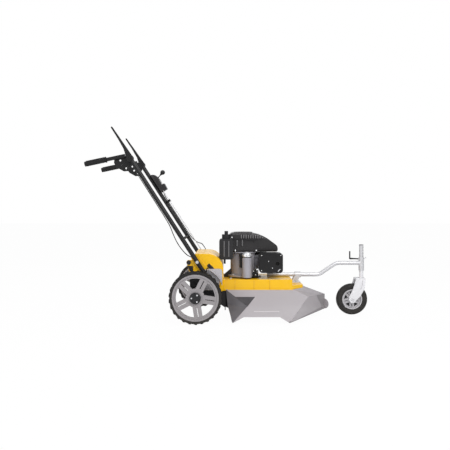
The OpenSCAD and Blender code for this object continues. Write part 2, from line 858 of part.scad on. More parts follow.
// Front arm: a tube along the deck, up through two bends to the castor's sleeve
module arm_path(d, tail, head) {
  rise = arm_high_z - arm_low_run_z;
  slope = atan2(rise, arm_fall_x - arm_rise_x);
  cut = arm_bend_r * tan(slope / 2);
  slant = sqrt(pow(rise, 2) + pow(arm_fall_x - arm_rise_x, 2));
  translate([arm_tail_x - tail, 0, arm_low_run_z]) rotate([0, 90, 0]) cylinder(d = d, h = arm_rise_x - cut - arm_tail_x + tail);
  translate([arm_rise_x - cut, 0, arm_low_run_z + arm_bend_r]) rotate([90, 0, 0]) rotate([0, 0, -90])
    rotate_extrude(angle = slope) translate([arm_bend_r, 0]) circle(d = d + 2 * run_gap);
  translate([arm_rise_x, 0, arm_low_run_z]) rotate([0, 90 - slope, 0]) translate([0, 0, cut]) cylinder(d = d, h = slant - 2 * cut);
  translate([arm_fall_x + cut, 0, arm_high_z - arm_bend_r]) rotate([90, 0, 0]) rotate([0, 0, 90])
    rotate_extrude(angle = slope) translate([arm_bend_r, 0]) circle(d = d + 2 * run_gap);
  translate([arm_fall_x + cut, 0, arm_high_z]) rotate([0, 90, 0]) cylinder(d = d, h = swivel_x - arm_fall_x - cut - head);
}
module front_arm() placed() color(steel) difference() {
  union() {
    difference() {
      arm_path(arm_d, 0, 0);
      arm_path(arm_d - 2 * arm_wall, over, sleeve_d / 2);
    }
    translate([swivel_x, 0, sleeve_bottom_z]) cylinder(d = sleeve_d, h = sleeve_top_z - sleeve_bottom_z);
  }
  translate([swivel_x, 0, sleeve_bottom_z - over]) cylinder(d = post_d + 2 * run_gap, h = sleeve_top_z - sleeve_bottom_z + 2 * over);
  at_pin() translate([0, 0, -sleeve_d]) cylinder(d = pin_d + 2 * run_gap, h = sleeve_d);
}

// Saddle that clamps the arm to the deck's front step
module arm_saddle() placed() color(steel) difference() {
  union() {
    side_plate_of(-saddle_half_w, saddle_half_w) polygon([
      [saddle_x, deck_step_z], [saddle_x + saddle_web_len, deck_step_z],
      [saddle_x + saddle_lean + saddle_web_len, arm_low_run_z], [saddle_x + saddle_lean, arm_low_run_z]
    ]);
    translate([saddle_x + saddle_lean, 0, arm_low_run_z]) rotate([0, 90, 0]) cylinder(r = saddle_half_w, h = saddle_web_len);
    translate([saddle_x, -saddle_foot_half_w, deck_step_z]) cube([saddle_len, 2 * saddle_foot_half_w, saddle_foot_t]);
  }
  translate([saddle_x - over, 0, arm_low_run_z]) rotate([0, 90, 0]) cylinder(d = arm_d + 2 * run_gap, h = saddle_len + saddle_lean + 2 * over);
  saddle_bolt_places() cylinder(d = small_bolt_d + 2 * seat_gap, h = deck_top_z);
}

module deck_bolts() placed() color(steel) {
  engine_bolt_places() bolt(engine_bolt_d, base_flange_t + pad_h + sheet + engine_bolt_tail);
  spindle_bolt_places() bolt(small_bolt_d, sheet + spindle_flange_t);
  idler_pivot_places() bolt(idler_pivot_d, deck_top_z - idler_arm_low_z + idler_arm_t);
  saddle_bolt_places() translate([0, 0, saddle_foot_t]) bolt(small_bolt_d, saddle_foot_t + sheet);
  both_sides() for (s = bar_bolt_s) at_bar(s, 0, -bar_y - bar_d / 2) rotate([90, 0, 0]) bolt(bar_bolt_d, bar_d + plate_t + seat_gap);
}

// Engine: base, crankcase, finned cylinder along +X and the flange that carries the blower
module engine_block() placed() color(cast) difference() {
  union() {
    translate([crank_x, 0, engine_z]) cylinder(r = base_flange_r, h = base_flange_t);
    translate([crank_x, 0, engine_z]) cylinder(r = crankcase_r, h = case_top_z - engine_z);
    translate([crank_x, 0, case_top_z - case_flange_t]) cylinder(r = shroud_r, h = case_flange_t);
    translate([crank_x, 0, cylinder_z]) rotate([0, 90, 0]) cylinder(r = cylinder_r, h = cylinder_end_x - crank_x);
    for (i = [0 : fin_count - 1]) translate([cylinder_x0 + i * fin_pitch, -fin_half, cylinder_z - fin_half])
      cube([fin_t, 2 * fin_half, 2 * fin_half]);
  }
  translate([crank_x, 0, engine_z - over]) cylinder(d = crank_d + 2 * run_gap, h = case_top_z);
  engine_bolt_places() translate([0, 0, -base_flange_t - over]) cylinder(d = engine_bolt_d + 2 * seat_gap, h = base_flange_t + 2 * over);
}
module cylinder_head() placed() color(cast) translate([cylinder_end_x, 0, cylinder_z]) {
  rotate([0, 90, 0]) cylinder(r = cylinder_r, h = head_len);
  for (i = [0 : head_fins - 1]) translate([i * fin_pitch + fin_t, -fin_half, -fin_half]) cube([fin_t, 2 * fin_half, 2 * fin_half]);
  translate([head_len, 0, 0]) rotate([0, 90, 0]) cylinder(r = plug_r, h = plug_len);
}

// Blower shroud over the flywheel and cylinder, its top falling away to the front
module shroud_plan(inset) loop_plan(crank_x, shroud_r - inset, shroud_nose_x - shroud_nose_r, shroud_nose_r - inset);
module shroud_slope(drop) translate([crank_x + shroud_fall_x, 0, shroud_top_z - drop]) rotate([0, shroud_fall, 0])
  translate([-shroud_nose_x, -2 * shroud_r, 0]) cube([2 * shroud_nose_x, 4 * shroud_r, shroud_top_z]);
module blower_shroud() placed() color(dark) difference() {
  translate([0, 0, shroud_bottom_z]) linear_extrude(shroud_top_z - shroud_bottom_z) shroud_plan(0);
  difference() {
    translate([0, 0, shroud_bottom_z - over]) linear_extrude(shroud_top_z - shroud_bottom_z - shroud_wall + over) shroud_plan(shroud_wall);
    shroud_slope(shroud_wall / cos(shroud_fall));
  }
  shroud_slope(0);
  translate([crank_x, 0, shroud_bottom_z]) cylinder(r = shroud_eye_r, h = shroud_top_z);
}
// Starter cover: a hood whose top falls in line with the shroud, with upright louvres in its sides
module cover_plan(inset) loop_plan(crank_x, cover_r - inset, cover_nose_x - cover_nose_r, cover_nose_r - inset);
module starter_cover() placed() color(black) difference() {
  translate([0, 0, shroud_top_z]) linear_extrude(cover_h) cover_plan(0);
  difference() {
    translate([0, 0, shroud_top_z - over]) linear_extrude(cover_h - shroud_wall + over) cover_plan(shroud_wall);
    shroud_slope(shroud_wall / cos(shroud_fall));
  }
  shroud_slope(0);
  for (i = [0 : louvres - 1]) translate([louvre_x + i * louvre_pitch, -2 * cover_r, shroud_top_z + cover_foot_h])
    cube([louvre_w, 4 * cover_r, louvre_h]);
}

module tank_outline() {
  translate([tank_x, tank_z]) rounded_plan(tank_len, tank_h, tank_edge_r);
}
module fuel_tank() placed() color(black) {
  difference() {
    union() {
      side_plate_of(-tank_out_y, -tank_in_y) tank_outline();
      translate([tank_neck_x, -(tank_out_y + tank_in_y) / 2, tank_z + tank_h - over]) cylinder(r = tank_neck_r, h = tank_neck_h + over);
    }
    translate([crank_x, 0, tank_z - over]) cylinder(r = shroud_r + seat_gap, h = tank_h + tank_neck_h + 2 * over);
    side_plate_of(-tank_out_y - over, -tank_in_y + over) translate([cowl_front_x - cowl_r, cowl_top_z - cowl_r]) circle(r = cowl_r + tank_gap);
    side_plate_of(-tank_out_y + tank_wall, -tank_in_y - tank_wall) translate([tank_x + tank_hold_in, tank_z + tank_hold_in])
      rounded_plan(tank_len - 2 * tank_hold_in, tank_h - tank_hold_in - tank_wall, tank_wall);
    translate([tank_neck_x, -(tank_out_y + tank_in_y) / 2, tank_z + tank_h - 2 * tank_wall]) cylinder(r = tank_neck_r - tank_wall, h = tank_neck_h + 3 * tank_wall);
  }
}
module fuel_cap() placed() color(black) translate([tank_neck_x, -(tank_out_y + tank_in_y) / 2, tank_z + tank_h + seat_gap]) difference() {
  union() {
    cylinder(r = cap_r, h = cap_h);
    cylinder(r = cap_top_r, h = cap_top_h);
    for (i = [0 : cap_ribs - 1]) rotate([0, 0, i * 360 / cap_ribs]) translate([cap_r - over, -cap_rib_w / 2, 0]) cube([cap_rib_w / 2 + over, cap_rib_w, cap_h]);
  }
  translate([0, 0, -over]) cylinder(r = tank_neck_r + run_gap, h = tank_neck_h + over);
}

// Silencer on the cylinder's right, inside a slotted guard
module muffler() placed() color(steel) {
  difference() {
    union() {
      translate([muffler_x, -muffler_out_y, muffler_z]) rounded_box_y([muffler_len, muffler_out_y - muffler_in_y, muffler_h], muffler_edge_r);
      translate([muffler_x + exhaust_share * muffler_len, 0, cylinder_z]) cross_bar(exhaust_d, -muffler_in_y - over, -fin_half - seat_gap);
    }
    translate([muffler_x + muffler_guard_t, -muffler_out_y + muffler_guard_t, muffler_z + muffler_guard_t])
      rounded_box_y([muffler_len - 2 * muffler_guard_t, muffler_out_y - muffler_in_y - 2 * muffler_guard_t, muffler_h - 2 * muffler_guard_t], muffler_edge_r - muffler_guard_t);
    translate([muffler_x + exhaust_share * muffler_len, 0, cylinder_z]) cross_bar(exhaust_d - 2 * muffler_guard_t, -muffler_in_y - muffler_edge_r, 0);
  }
  for (p = guard_screw_shares) translate([muffler_x + p[0] * muffler_len, 0, muffler_z + p[1] * muffler_h])
    cross_bar(guard_post_d, -muffler_out_y - muffler_guard_gap, -muffler_out_y + over);
}
module rounded_box_y(size, r) translate([0, size[1], 0]) rotate([90, 0, 0]) rounded_box([size[0], size[2], size[1]], r);
module muffler_guard() placed() color(dark) {
  edge = muffler_guard_gap + muffler_guard_t;
  difference() {
    translate([muffler_x - edge, -muffler_out_y - edge, muffler_z - edge])
      rounded_box_y([muffler_len + 2 * edge, muffler_guard_d + edge, muffler_h + 2 * edge], muffler_edge_r + edge);
    translate([muffler_x - muffler_guard_gap, -muffler_out_y - muffler_guard_gap, muffler_z - muffler_guard_gap])
      rounded_box_y([muffler_len + 2 * muffler_guard_gap, muffler_guard_d + edge, muffler_h + 2 * muffler_guard_gap], muffler_edge_r + muffler_guard_gap);
    translate([muffler_x + port_shares[0] * muffler_len, 0, muffler_z + port_shares[1] * muffler_h])
      cross_bar(port_d, -muffler_out_y - edge - over, -muffler_out_y);
  }
}

module oil_filler() placed() color(black) translate([oil_x, -oil_y, 0]) {
  translate([0, 0, oil_z]) cylinder(d = oil_d, h = oil_top_z - oil_z);
  translate([0, 0, oil_top_z - oil_cap_h]) cylinder(d = oil_cap_d, h = oil_cap_h);
  translate([0, 0, oil_z + oil_d / 2]) cross_bar(oil_d, 0, oil_y - oil_seat_y);
}
module starter_motor() placed() color(cast) difference() {
  union() {
    translate([starter_x, -starter_y, engine_z]) cylinder(r = starter_r, h = starter_h - starter_dome_h);
    translate([starter_x, -starter_y, engine_z + starter_h - starter_dome_h]) cylinder(r1 = starter_r, r2 = starter_r - starter_dome_h, h = starter_dome_h);
    translate([starter_x - starter_lug_w / 2, -starter_y, engine_z + starter_lug_z]) cube([starter_lug_w, starter_y, starter_lug_h]);
  }
  translate([crank_x, 0, engine_z - over]) cylinder(r = crankcase_r + seat_gap, h = engine_h);
  translate([crank_x, 0, engine_z - over]) cylinder(r = base_flange_r + seat_gap, h = base_flange_t + seat_gap + over);
}
module air_filter() placed() color(black) {
  translate([filter_x, filter_y, filter_z]) translate([0, filter_w, 0]) rotate([90, 0, 0]) rounded_box([filter_len, filter_h, filter_w], filter_edge_r);
  translate([filter_x + filter_len / 2, 0, cylinder_z]) cross_bar(exhaust_d, fin_half + seat_gap, filter_y + over);
}

// Cutter spindle housing, hung under the deck's top sheet
module spindle_housing() placed() color(cast) translate([cutter_x, 0, deck_top_z - sheet]) difference() {
  union() {
    translate([0, 0, -spindle_flange_t]) cylinder(r = spindle_flange_r, h = spindle_flange_t);
    translate([0, 0, -spindle_barrel_h]) cylinder(r = spindle_barrel_r, h = spindle_barrel_h);
  }
  translate([0, 0, -spindle_barrel_h - over]) cylinder(d = spindle_bush_d + 2 * run_gap, h = spindle_barrel_h + 2 * over);
  for (a = [45 : 90 : 315]) rotate([0, 0, a]) translate([spindle_bolt_r, 0, -spindle_flange_t - over])
    cylinder(d = small_bolt_d + 2 * seat_gap, h = spindle_flange_t + 2 * over);
}

// Rear gearbox: worm case with axle tubes out to the side plates
module gearbox_housing() placed() color(dark) difference() {
  union() {
    translate([-case_back, -case_half_w, axle_z - case_low]) cube([case_back + input_x + case_front, 2 * case_half_w, case_low + case_high]);
    translate([0, 0, axle_z]) cross_bar(axle_tube_d, -rear_half_w, rear_half_w);
    both_sides() translate([0, 0, axle_z]) cross_bar(2 * plate_boss_r - 2 * free_gap, -rear_half_w, -rear_half_w + axle_flange_t);
  }
  translate([0, 0, axle_z]) cross_bar(axle_d + 2 * axle_room, -rear_half_w - over, rear_half_w + over);
  translate([0, 0, axle_z]) cross_bar(worm_wheel_d + 2 * case_room, -worm_face / 2 - case_room, worm_face / 2 + case_room);
  translate([input_x, 0, axle_z - worm_len / 2 - case_room]) cylinder(d = worm_pitch_d + 2 * (worm_throw + case_room), h = worm_len + 2 * case_room);
  translate([input_x, 0, axle_z]) cylinder(d = input_bush_d + 2 * run_gap, h = case_high + over);
}

// Plain bushes: axle in the side plates, cutter spindle, gearbox input
module bush(d_out, d_in, h) difference() {
  cylinder(d = d_out, h = h);
  translate([0, 0, -over]) cylinder(d = d_in + 2 * run_gap, h = h + 2 * over);
}
module bearings() placed() color(steel) {
  both_sides() translate([0, -rear_half_w, axle_z]) rotate([90, 0, 0]) bush(axle_bush_d, axle_d, plate_t);
  translate([cutter_x, 0, deck_top_z - sheet - spindle_barrel_h]) bush(spindle_bush_d, spindle_d, spindle_bush_h);
  translate([cutter_x, 0, deck_top_z - sheet - spindle_bush_h]) bush(spindle_bush_d, spindle_d, spindle_bush_h);
  translate([input_x, 0, axle_z + case_high - input_bush_h]) bush(input_bush_d, input_d, input_bush_h);
}

module cutter_belt() placed() color(black) belt(crank_x, crank_cutter_d, cutter_x, cutter_pulley_d, cutter_belt_z);
module traction_belt() placed() color(black) belt(input_x, input_pulley_d, crank_x, crank_drive_d, drive_belt_z);

// Crankshaft with its two-groove pulley
module crankshaft() placed() color(steel) translate([crank_x, 0, 0]) {
  translate([0, 0, cutter_belt_z - belt_w]) cylinder(d = crank_d, h = shroud_bottom_z + flywheel_z + flywheel_t + crank_nut_h - cutter_belt_z + belt_w);
  translate([0, 0, cutter_belt_z]) pulley(crank_cutter_d);
  translate([0, 0, drive_belt_z]) pulley(crank_drive_d);
}
module flywheel() placed() color(cast) translate([crank_x, 0, shroud_bottom_z + flywheel_z]) difference() {
  union() {
    cylinder(r = flywheel_r, h = flywheel_t / 2);
    for (i = [0 : blades - 1]) rotate([0, 0, i * 360 / blades]) translate([flywheel_r / 2, -fin_t / 2, 0])
      cube([flywheel_r / 2 - fin_t, fin_t, flywheel_t]);
  }
  translate([0, 0, -over]) cylinder(d = crank_d + 2 * run_gap, h = flywheel_t + 2 * over);
}

module cutter_spindle() placed() color(steel) translate([cutter_x, 0, 0]) {
  translate([0, 0, cutter_disc_z - cutter_nut_h]) cylinder(d = spindle_d, h = deck_top_z - sheet - free_gap - cutter_disc_z + cutter_nut_h);
  translate([0, 0, cutter_belt_z]) pulley(cutter_pulley_d);
  translate([0, 0, cutter_disc_z - cutter_nut_h]) cylinder(r = cutter_nut_r, h = cutter_nut_h - seat_gap, $fn = 6);
}
module cutter_head() placed() color(black) translate([cutter_x, 0, cutter_disc_z]) difference() {
  union() {
    cylinder(r = cutter_disc_r, h = cutter_disc_t);
    cylinder(r = cutter_hub_r, h = cutter_hub_h);
  }
  translate([0, 0, -over]) cylinder(d = spindle_d + 2 * run_gap, h = cutter_hub_h + 2 * over);
  line_places() cylinder(d = line_d + 2 * run_gap, h = cutter_disc_r);
}
module line_places() for (i = [0 : line_count - 1]) rotate([0, 0, i * 360 / line_count + line_turn])
  translate([line_root_r, 0, cutter_disc_t / 2]) rotate([0, 90, 0]) children();
module trimmer_lines() placed() color(yellow) translate([cutter_x, 0, cutter_disc_z])
  line_places() cylinder(d = line_d, h = line_tip_r - line_root_r);

// Worm shaft and its pulley
module gearbox_input() placed() color(steel) translate([input_x, 0, 0]) {
  translate([0, 0, axle_z + worm_len / 2 - over]) cylinder(d = input_d, h = drive_belt_z + belt_w - axle_z - worm_len / 2 + over);
  translate([0, 0, drive_belt_z]) pulley(input_pulley_d);
  translate([0, 0, axle_z - worm_len / 2]) linear_extrude(worm_len, twist = -360 * worm_len / (PI * worm_module), slices = worm_slices, segments = worm_fn)
    rotate(-180 * worm_len / (PI * worm_module)) translate([worm_throw, 0]) circle(d = worm_pitch_d, $fn = worm_fn);
}
// Axle with the worm wheel at its middle
module rear_axle() placed() color(steel) translate([0, 0, axle_z]) {
  cross_bar(axle_d, -wheel_y - axle_tail, wheel_y + axle_tail);
  side_plate_of(-worm_face / 2, worm_face / 2) {
    circle(r = worm_root_r);
    for (i = [0 : worm_teeth - 1]) rotate(i * 360 / worm_teeth) polygon([
      for (p = worm_tooth_shares) [worm_root_r - over + p[0] * (worm_wheel_d / 2 - worm_root_r + over), p[1] * PI * worm_module]
    ]);
  }
}

// Belt tensioners: an arm on its pivot with a flat roller
module idler(pivot, roller, low_z) {
  reach = sqrt(pow(roller[0] - pivot[0], 2) + pow(roller[1] - pivot[1], 2));
  translate([pivot[0], pivot[1], low_z]) rotate([0, 0, atan2(roller[1] - pivot[1], roller[0] - pivot[0])]) {
    difference() {
      union() {
        cylinder(r = idler_boss_r, h = idler_arm_t);
        translate([reach, 0, 0]) cylinder(r = idler_boss_r, h = idler_arm_t);
        translate([0, -idler_arm_w / 2, 0]) cube([reach, idler_arm_w, idler_arm_t]);
        translate([reach, 0, -idler_roller_h]) cylinder(r = idler_roller_r, h = idler_roller_h);
      }
      translate([0, 0, -over]) cylinder(d = idler_pivot_d + 2 * run_gap, h = idler_arm_t + 2 * over);
    }
  }
}
module cutter_idler() placed() color(dark) idler(cutter_idler_pivot, cutter_idler_roller, cutter_belt_z + idler_roller_h / 2);
module traction_idler() placed() color(dark) idler(traction_idler_pivot, traction_idler_roller, drive_belt_z + idler_roller_h / 2);

// Spoked wheel disc: a plan with windows between the spokes and a slot along each spoke
module wheel_plan(r_out, r_in, r_hub, count, spoke_w, slot_w, turn) difference() {
  circle(r = r_out);
  difference() {
    circle(r = r_in);
    circle(r = r_hub);
    for (i = [0 : count - 1]) rotate(turn + i * 360 / count) translate([0, -spoke_w / 2]) square([r_out, spoke_w]);
  }
  for (i = [0 : count - 1]) rotate(turn + i * 360 / count) translate([r_hub + slot_w, -slot_w / 2])
    square([r_in - r_hub - slot_w - over, slot_w]);
}
// A wheel stands on its axle along Z here, its outer side up, centred on its width
module rim(r_out, band, width, r_hub, hub_r, hub_w, bore, web, web_up, count, spoke_w, slot_w, turn) difference() {
  union() {
    rotate_extrude() translate([r_out - band, -width / 2]) square([band, width]);
    translate([0, 0, web_up]) linear_extrude(web) wheel_plan(r_out - band / 2, r_out - 2 * band, r_hub, count, spoke_w, slot_w, turn);
    translate([0, 0, -hub_w / 2]) cylinder(r = hub_r, h = hub_w);
  }
  translate([0, 0, -hub_w]) cylinder(d = bore + 2 * run_gap, h = 2 * hub_w);
}
module tyre(r_out, r_in, width, lug_h, lugs, lug_share) {
  rotate_extrude() difference() {
    translate([r_in, -width / 2]) square([r_out - lug_h - r_in, width]);
    for (side = [1, -1]) translate([r_out - lug_h, side * width / 2]) rotate(45) square(tyre_edge, center = true);
  }
  for (i = [0 : lugs - 1]) rotate([0, 0, i * 360 / lugs]) rotate_extrude(angle = lug_share * 360 / lugs)
    translate([r_out - lug_h - over, -width / 2 + tyre_edge]) square([lug_h + over, width - 2 * tyre_edge]);
}
module on_axle(side) translate([0, side * wheel_y, axle_z]) rotate([side * -90, 0, 0]) children();
module rear_rim() rim(rim_r, rim_band, rim_w, rim_hole_r, rim_hub_r, rear_tyre_w, axle_d, rim_web, rim_web_up, spokes, spoke_w, spoke_slot, 63);
module rear_tyre() tyre(rear_wheel_d / 2, rim_r + run_gap, rear_tyre_w, lug_h, rear_lugs, lug_share);
module hub_cap() translate([0, 0, rear_tyre_w / 2 + run_gap]) difference() {
  union() {
    cylinder(r = cap_disc_r, h = cap_disc_t);
    translate([0, 0, cap_disc_t]) cylinder(r1 = cap_disc_r, r2 = cap_disc_r - cap_dome_h, h = cap_dome_h);
    for (i = [0 : 2]) rotate([0, 0, 58 + i * 120]) translate([cap_screw_r, 0, 0]) cylinder(d = cap_screw_d, h = cap_disc_t + cap_dome_h + cap_screw_h);
  }
  translate([0, 0, -over]) cylinder(d = axle_d + 2 * axle_room, h = axle_tail - rear_tyre_w / 2 + free_gap + over);
}
module rim_right() placed() color(silver) on_axle(-1) rear_rim();
module rim_left() placed() color(silver) on_axle(1) rear_rim();
module tyre_right() placed() color(black) on_axle(-1) rear_tyre();
module tyre_left() placed() color(black) on_axle(1) rear_tyre();
module hub_cap_right() placed() color(black) on_axle(-1) hub_cap();
module hub_cap_left() placed() color(black) on_axle(1) hub_cap();

// Castor: post in the sleeve, fork on its stem inside the post, wheel in the fork
module at_pin() translate([swivel_x, 0, pin_z]) rotate([0, 0, pin_turn]) rotate([0, 90, 0]) children();
module height_post() placed() color(steel) difference() {
  translate([swivel_x, 0, post_bottom_z]) cylinder(d = post_d, h = post_top_z - post_bottom_z);
  translate([swivel_x, 0, post_bottom_z - over]) cylinder(d = stem_d + 2 * run_gap, h = post_top_z - post_bottom_z + 2 * over);
  for (i = [0 : post_holes]) translate([0, 0, i * post_hole_pitch]) at_pin() translate([0, 0, -post_d]) cylinder(d = post_hole_d, h = 2 * post_d);
}
module fork_outline() polygon([for (p = fork_shares) [
  castor_x + p[0] * castor_trail, castor_axle_z + p[1] * (fork_crown_z - fork_crown_t - castor_axle_z)]]);
module castor_fork() placed() color(steel) {
  difference() {
    union() {
      both_sides() side_plate_of(fork_half_w, fork_half_w + fork_plate_t) {
        difference() {
          union() {
            fork_outline();
            translate([castor_x, castor_axle_z]) circle(r = fork_eye_r);
          }
          translate([castor_x, castor_axle_z]) circle(d = castor_axle_d + 2 * run_gap);
        }
      }
      translate([swivel_x - fork_crown_back, -fork_half_w - fork_plate_t, fork_crown_z - fork_crown_t])
        cube([fork_crown_back + fork_crown_front, 2 * (fork_half_w + fork_plate_t), fork_crown_t]);
      translate([swivel_x, 0, fork_crown_z - over]) cylinder(d = stem_d, h = stem_top_z - fork_crown_z + over);
      translate([swivel_x, 0, fork_crown_z - over]) cylinder(d = post_d, h = post_bottom_z - fork_crown_z - seat_gap + over);
    }
  }
}
module on_castor() translate([castor_x, 0, castor_axle_z]) rotate([90, 0, 0]) children();
module castor_axle() placed() color(steel) on_castor() {
  span = 2 * (fork_half_w + fork_plate_t + run_gap);
  translate([0, 0, -span / 2 - castor_nut_h]) cylinder(d = castor_axle_d, h = span + 2 * castor_nut_h);
  for (side = [1, -1]) translate([0, 0, side * (span + castor_nut_h) / 2]) cylinder(d = castor_nut_d, h = castor_nut_h, center = true, $fn = 6);
}
module castor_rim() placed() color(silver) on_castor()
  rim(castor_rim_r, castor_band, castor_w - castor_side_in, castor_hole_r, castor_hub_r, castor_hub_w, castor_axle_d, castor_web, -castor_web / 2, spokes, castor_spoke_w, castor_slot, 54);
module castor_tyre() placed() color(black) on_castor() rotate_extrude() difference() {
  translate([castor_rim_r + run_gap, -castor_w / 2]) square([castor_d / 2 - castor_rim_r - run_gap, castor_w]);
  for (side = [1, -1]) translate([castor_d / 2, side * castor_w / 2]) rotate(45) square(castor_edge, center = true);
}
// Spring pin that holds the height, with an upturned handle
module height_pin() placed() color(steel) at_pin() {
  translate([0, 0, -post_d / 2 - seat_gap - pin_len]) cylinder(d = pin_d, h = pin_len);
  translate([0, 0, -post_d / 2 - seat_gap - pin_len]) rotate([0, -90, 0]) translate([0, 0, -pin_d / 2]) cylinder(d = pin_d, h = pin_handle_h);
}

// Handlebar tubes, bolted to the side plates, with the pivot pin of the grip and lever at the top
module bar_tube() at_bar(0, 0, -bar_y) difference() {
  union() {
    difference() {
      cylinder(d = bar_d, h = bar_len);
      translate([0, 0, bar_wall]) cylinder(d = bar_d - 2 * bar_wall, h = bar_len - 2 * bar_wall);
    }
    translate([0, 0, hub_s]) cross_bar(pivot_d, -lever_y + bar_y - lever_t - pivot_tail, bar_y - arm_plate_y + pivot_tail);
  }
  for (s = bar_bolt_s) translate([0, 0, s]) cross_bar(bar_bolt_d + 2 * seat_gap, -bar_d, bar_d);
}
module handlebar_right() placed() color(black) bar_tube();
module handlebar_left() placed() color(black) difference() {
  union() {
    mirror([0, 1, 0]) bar_tube();
    at_bar(clip_s, 0, 0) translate([bar_d / 2 - bar_wall, rod_y - clip_edge, 0]) cube([rod_n - bar_d / 2 + clip_edge, bar_y - rod_y + clip_edge, clip_len]);
  }
  at_bar(clip_s - over, rod_n, rod_y) cylinder(d = rod_d + 2 * run_gap, h = clip_len + 2 * over);
}
module handlebar_brace() placed() color(black) at_bar(brace_s, 0, 0) {
  cross_bar(brace_d, -bar_y + bar_d / 2 + seat_gap, bar_y - bar_d / 2 - seat_gap);
  both_sides() translate([-brace_d / 2, -bar_y + bar_d / 2 + seat_gap, -brace_d]) cube([brace_d, plate_t, 2 * brace_d]);
}

// Grip arm: a drilled plate on the pivot, welded to the grip's tube
module at_hub(y) translate([hub_x, y, hub_z]) children();
module arm_plate_plan() difference() {
  union() {
    circle(r = arm_boss_r);
    polygon([for (p = arm_plate_shares) [p[0] * arm_plate_len, p[1] * arm_plate_len]]);
  }
  circle(d = pivot_d + 2 * run_gap);
  for (a = stop_hole_angles) rotate(a) translate([stop_hole_r, 0]) circle(d = stop_hole_d);
}
module at_grip(along) translate([-grip_start, 0, grip_lift]) rotate([0, -90 - grip_drop, 0]) translate([0, 0, along]) children();
module grip_arm() at_hub(0) {
  side_plate_of(-arm_plate_y - arm_plate_t, -arm_plate_y) arm_plate_plan();
  translate([0, -grip_y, 0]) at_grip(0) cylinder(d = grip_tube_d, h = grip_tube_len - grip_end_t - seat_gap);
}
module grip() at_hub(-grip_y) at_grip(grip_tube_len - grip_len) difference() {
  union() {
    cylinder(d = grip_d, h = grip_len);
    cylinder(d = grip_collar_d, h = grip_collar_h);
    for (i = [1 : grip_rings]) translate([0, 0, grip_collar_h + i * grip_ring_pitch]) cylinder(d = grip_ring_d, h = grip_ring_h);
  }
  translate([0, 0, -over]) cylinder(d = grip_tube_d + 2 * run_gap, h = grip_len - grip_end_t + over);
}
module lever(angle) at_hub(-lever_y) rotate([90, 0, 0]) difference() {
  union() {
    cylinder(r = lever_base_r, h = lever_t);
    rotate([0, 0, angle]) {
      linear_extrude(lever_t) polygon([for (p = lever_shares) [p[0] * lever_len, p[1] * lever_base_r]]);
      translate([lever_len - lever_tip_r, lever_tip_rise_share * lever_base_r, 0]) cylinder(r = lever_tip_r, h = lever_t);
    }
  }
  translate([0, 0, -over]) cylinder(d = pivot_d + 2 * run_gap, h = lever_t + 2 * over);
}
module grip_arm_right() placed() color(black) grip_arm();
module grip_arm_left() placed() color(black) mirror([0, 1, 0]) grip_arm();
module grip_right() placed() color(black) grip();
module grip_left() placed() color(black) mirror([0, 1, 0]) grip();
module lever_right() placed() color(black) lever(lever_angles[0]);
module lever_left() placed() color(black) mirror([0, 1, 0]) lever(lever_angles[1]);

// Control box on the left bar, open below for the lever's crank and the rod
module control_box() placed() color(black) at_bar(box_s, bar_d / 2 + seat_gap, bar_y) difference() {
  union() {
    translate([0, -box_w / 2, 0]) cube([box_t, box_w, box_len]);
    translate([box_t - over, -box_w / 2, box_nose_s]) cube([box_nose_n + over, box_w, box_nose_len]);
  }
  translate([box_wall, -box_w / 2 + box_wall, -over]) cube([box_t - 2 * box_wall, box_w - 2 * box_wall, box_len - box_wall + over]);
  translate([box_t - box_wall - over, -shift_d, shift_s - box_s - shift_slot / 2]) cube([box_wall + 2 * over, 2 * shift_d, shift_slot]);
}
module shift_lever() placed() color(black) at_bar(shift_s, shift_n, bar_y) {
  cross_bar(shift_boss_d, -box_w / 2 + box_wall + seat_gap, box_w / 2 - box_wall - seat_gap);
  rotate([0, 90 - shift_lean, 0]) {
    cylinder(d = shift_d, h = shift_len);
    translate([0, 0, shift_len]) sphere(d = knob_d);
  }
}
// Rod from the box down into the cowl
module shift_rod() placed() color(steel) at_bar(rod_foot_s, rod_n, rod_y) cylinder(d = rod_d, h = rod_top_s - rod_foot_s);

module cowl_knob() placed() color(black) translate([plate_knob_x, 0, plate_knob_z]) {
  cross_bar(knob_stud_d, -rear_half_w - plate_t - knob_head_t, -rear_half_w + knob_stud_d);
  cross_bar(knob_head_d, -rear_half_w - plate_t - seat_gap - knob_head_t, -rear_half_w - plate_t - seat_gap);
}

// A round cable swept along a route of points
function unit(v) = v / norm(v);
function route_side(route, i) = let (t = unit(route[min(i + 1, len(route) - 1)] - route[max(i - 1, 0)])) unit(cross(t, [0, 1, 0.01]));
module cable(route, d) {
  sides = 8;
  last = len(route) - 1;
  rings = [for (i = [0 : last]) let (t = unit(route[min(i + 1, last)] - route[max(i - 1, 0)]), u = route_side(route, i), v = cross(t, u))
    for (k = [0 : sides - 1]) route[i] + d / 2 * (cos(k * 360 / sides) * u + sin(k * 360 / sides) * v)];
  polyhedron(rings, concat(
    [[for (k = [0 : sides - 1]) k]], [[for (k = [sides - 1 : -1 : 0]) last * sides + k]],
    [for (i = [0 : last - 1], k = [0 : sides - 1]) let (n = (k + 1) % sides) [i * sides + k, (i + 1) * sides + k, (i + 1) * sides + n, i * sides + n]]
  ));
}

// A point beside a bar: along it, square to it, and across the machine
function by_bar(s, n, y) = [foot_x - s * cos(bar_slope) + n * sin(bar_slope), y, foot_z + s * sin(bar_slope) + n * cos(bar_slope)];

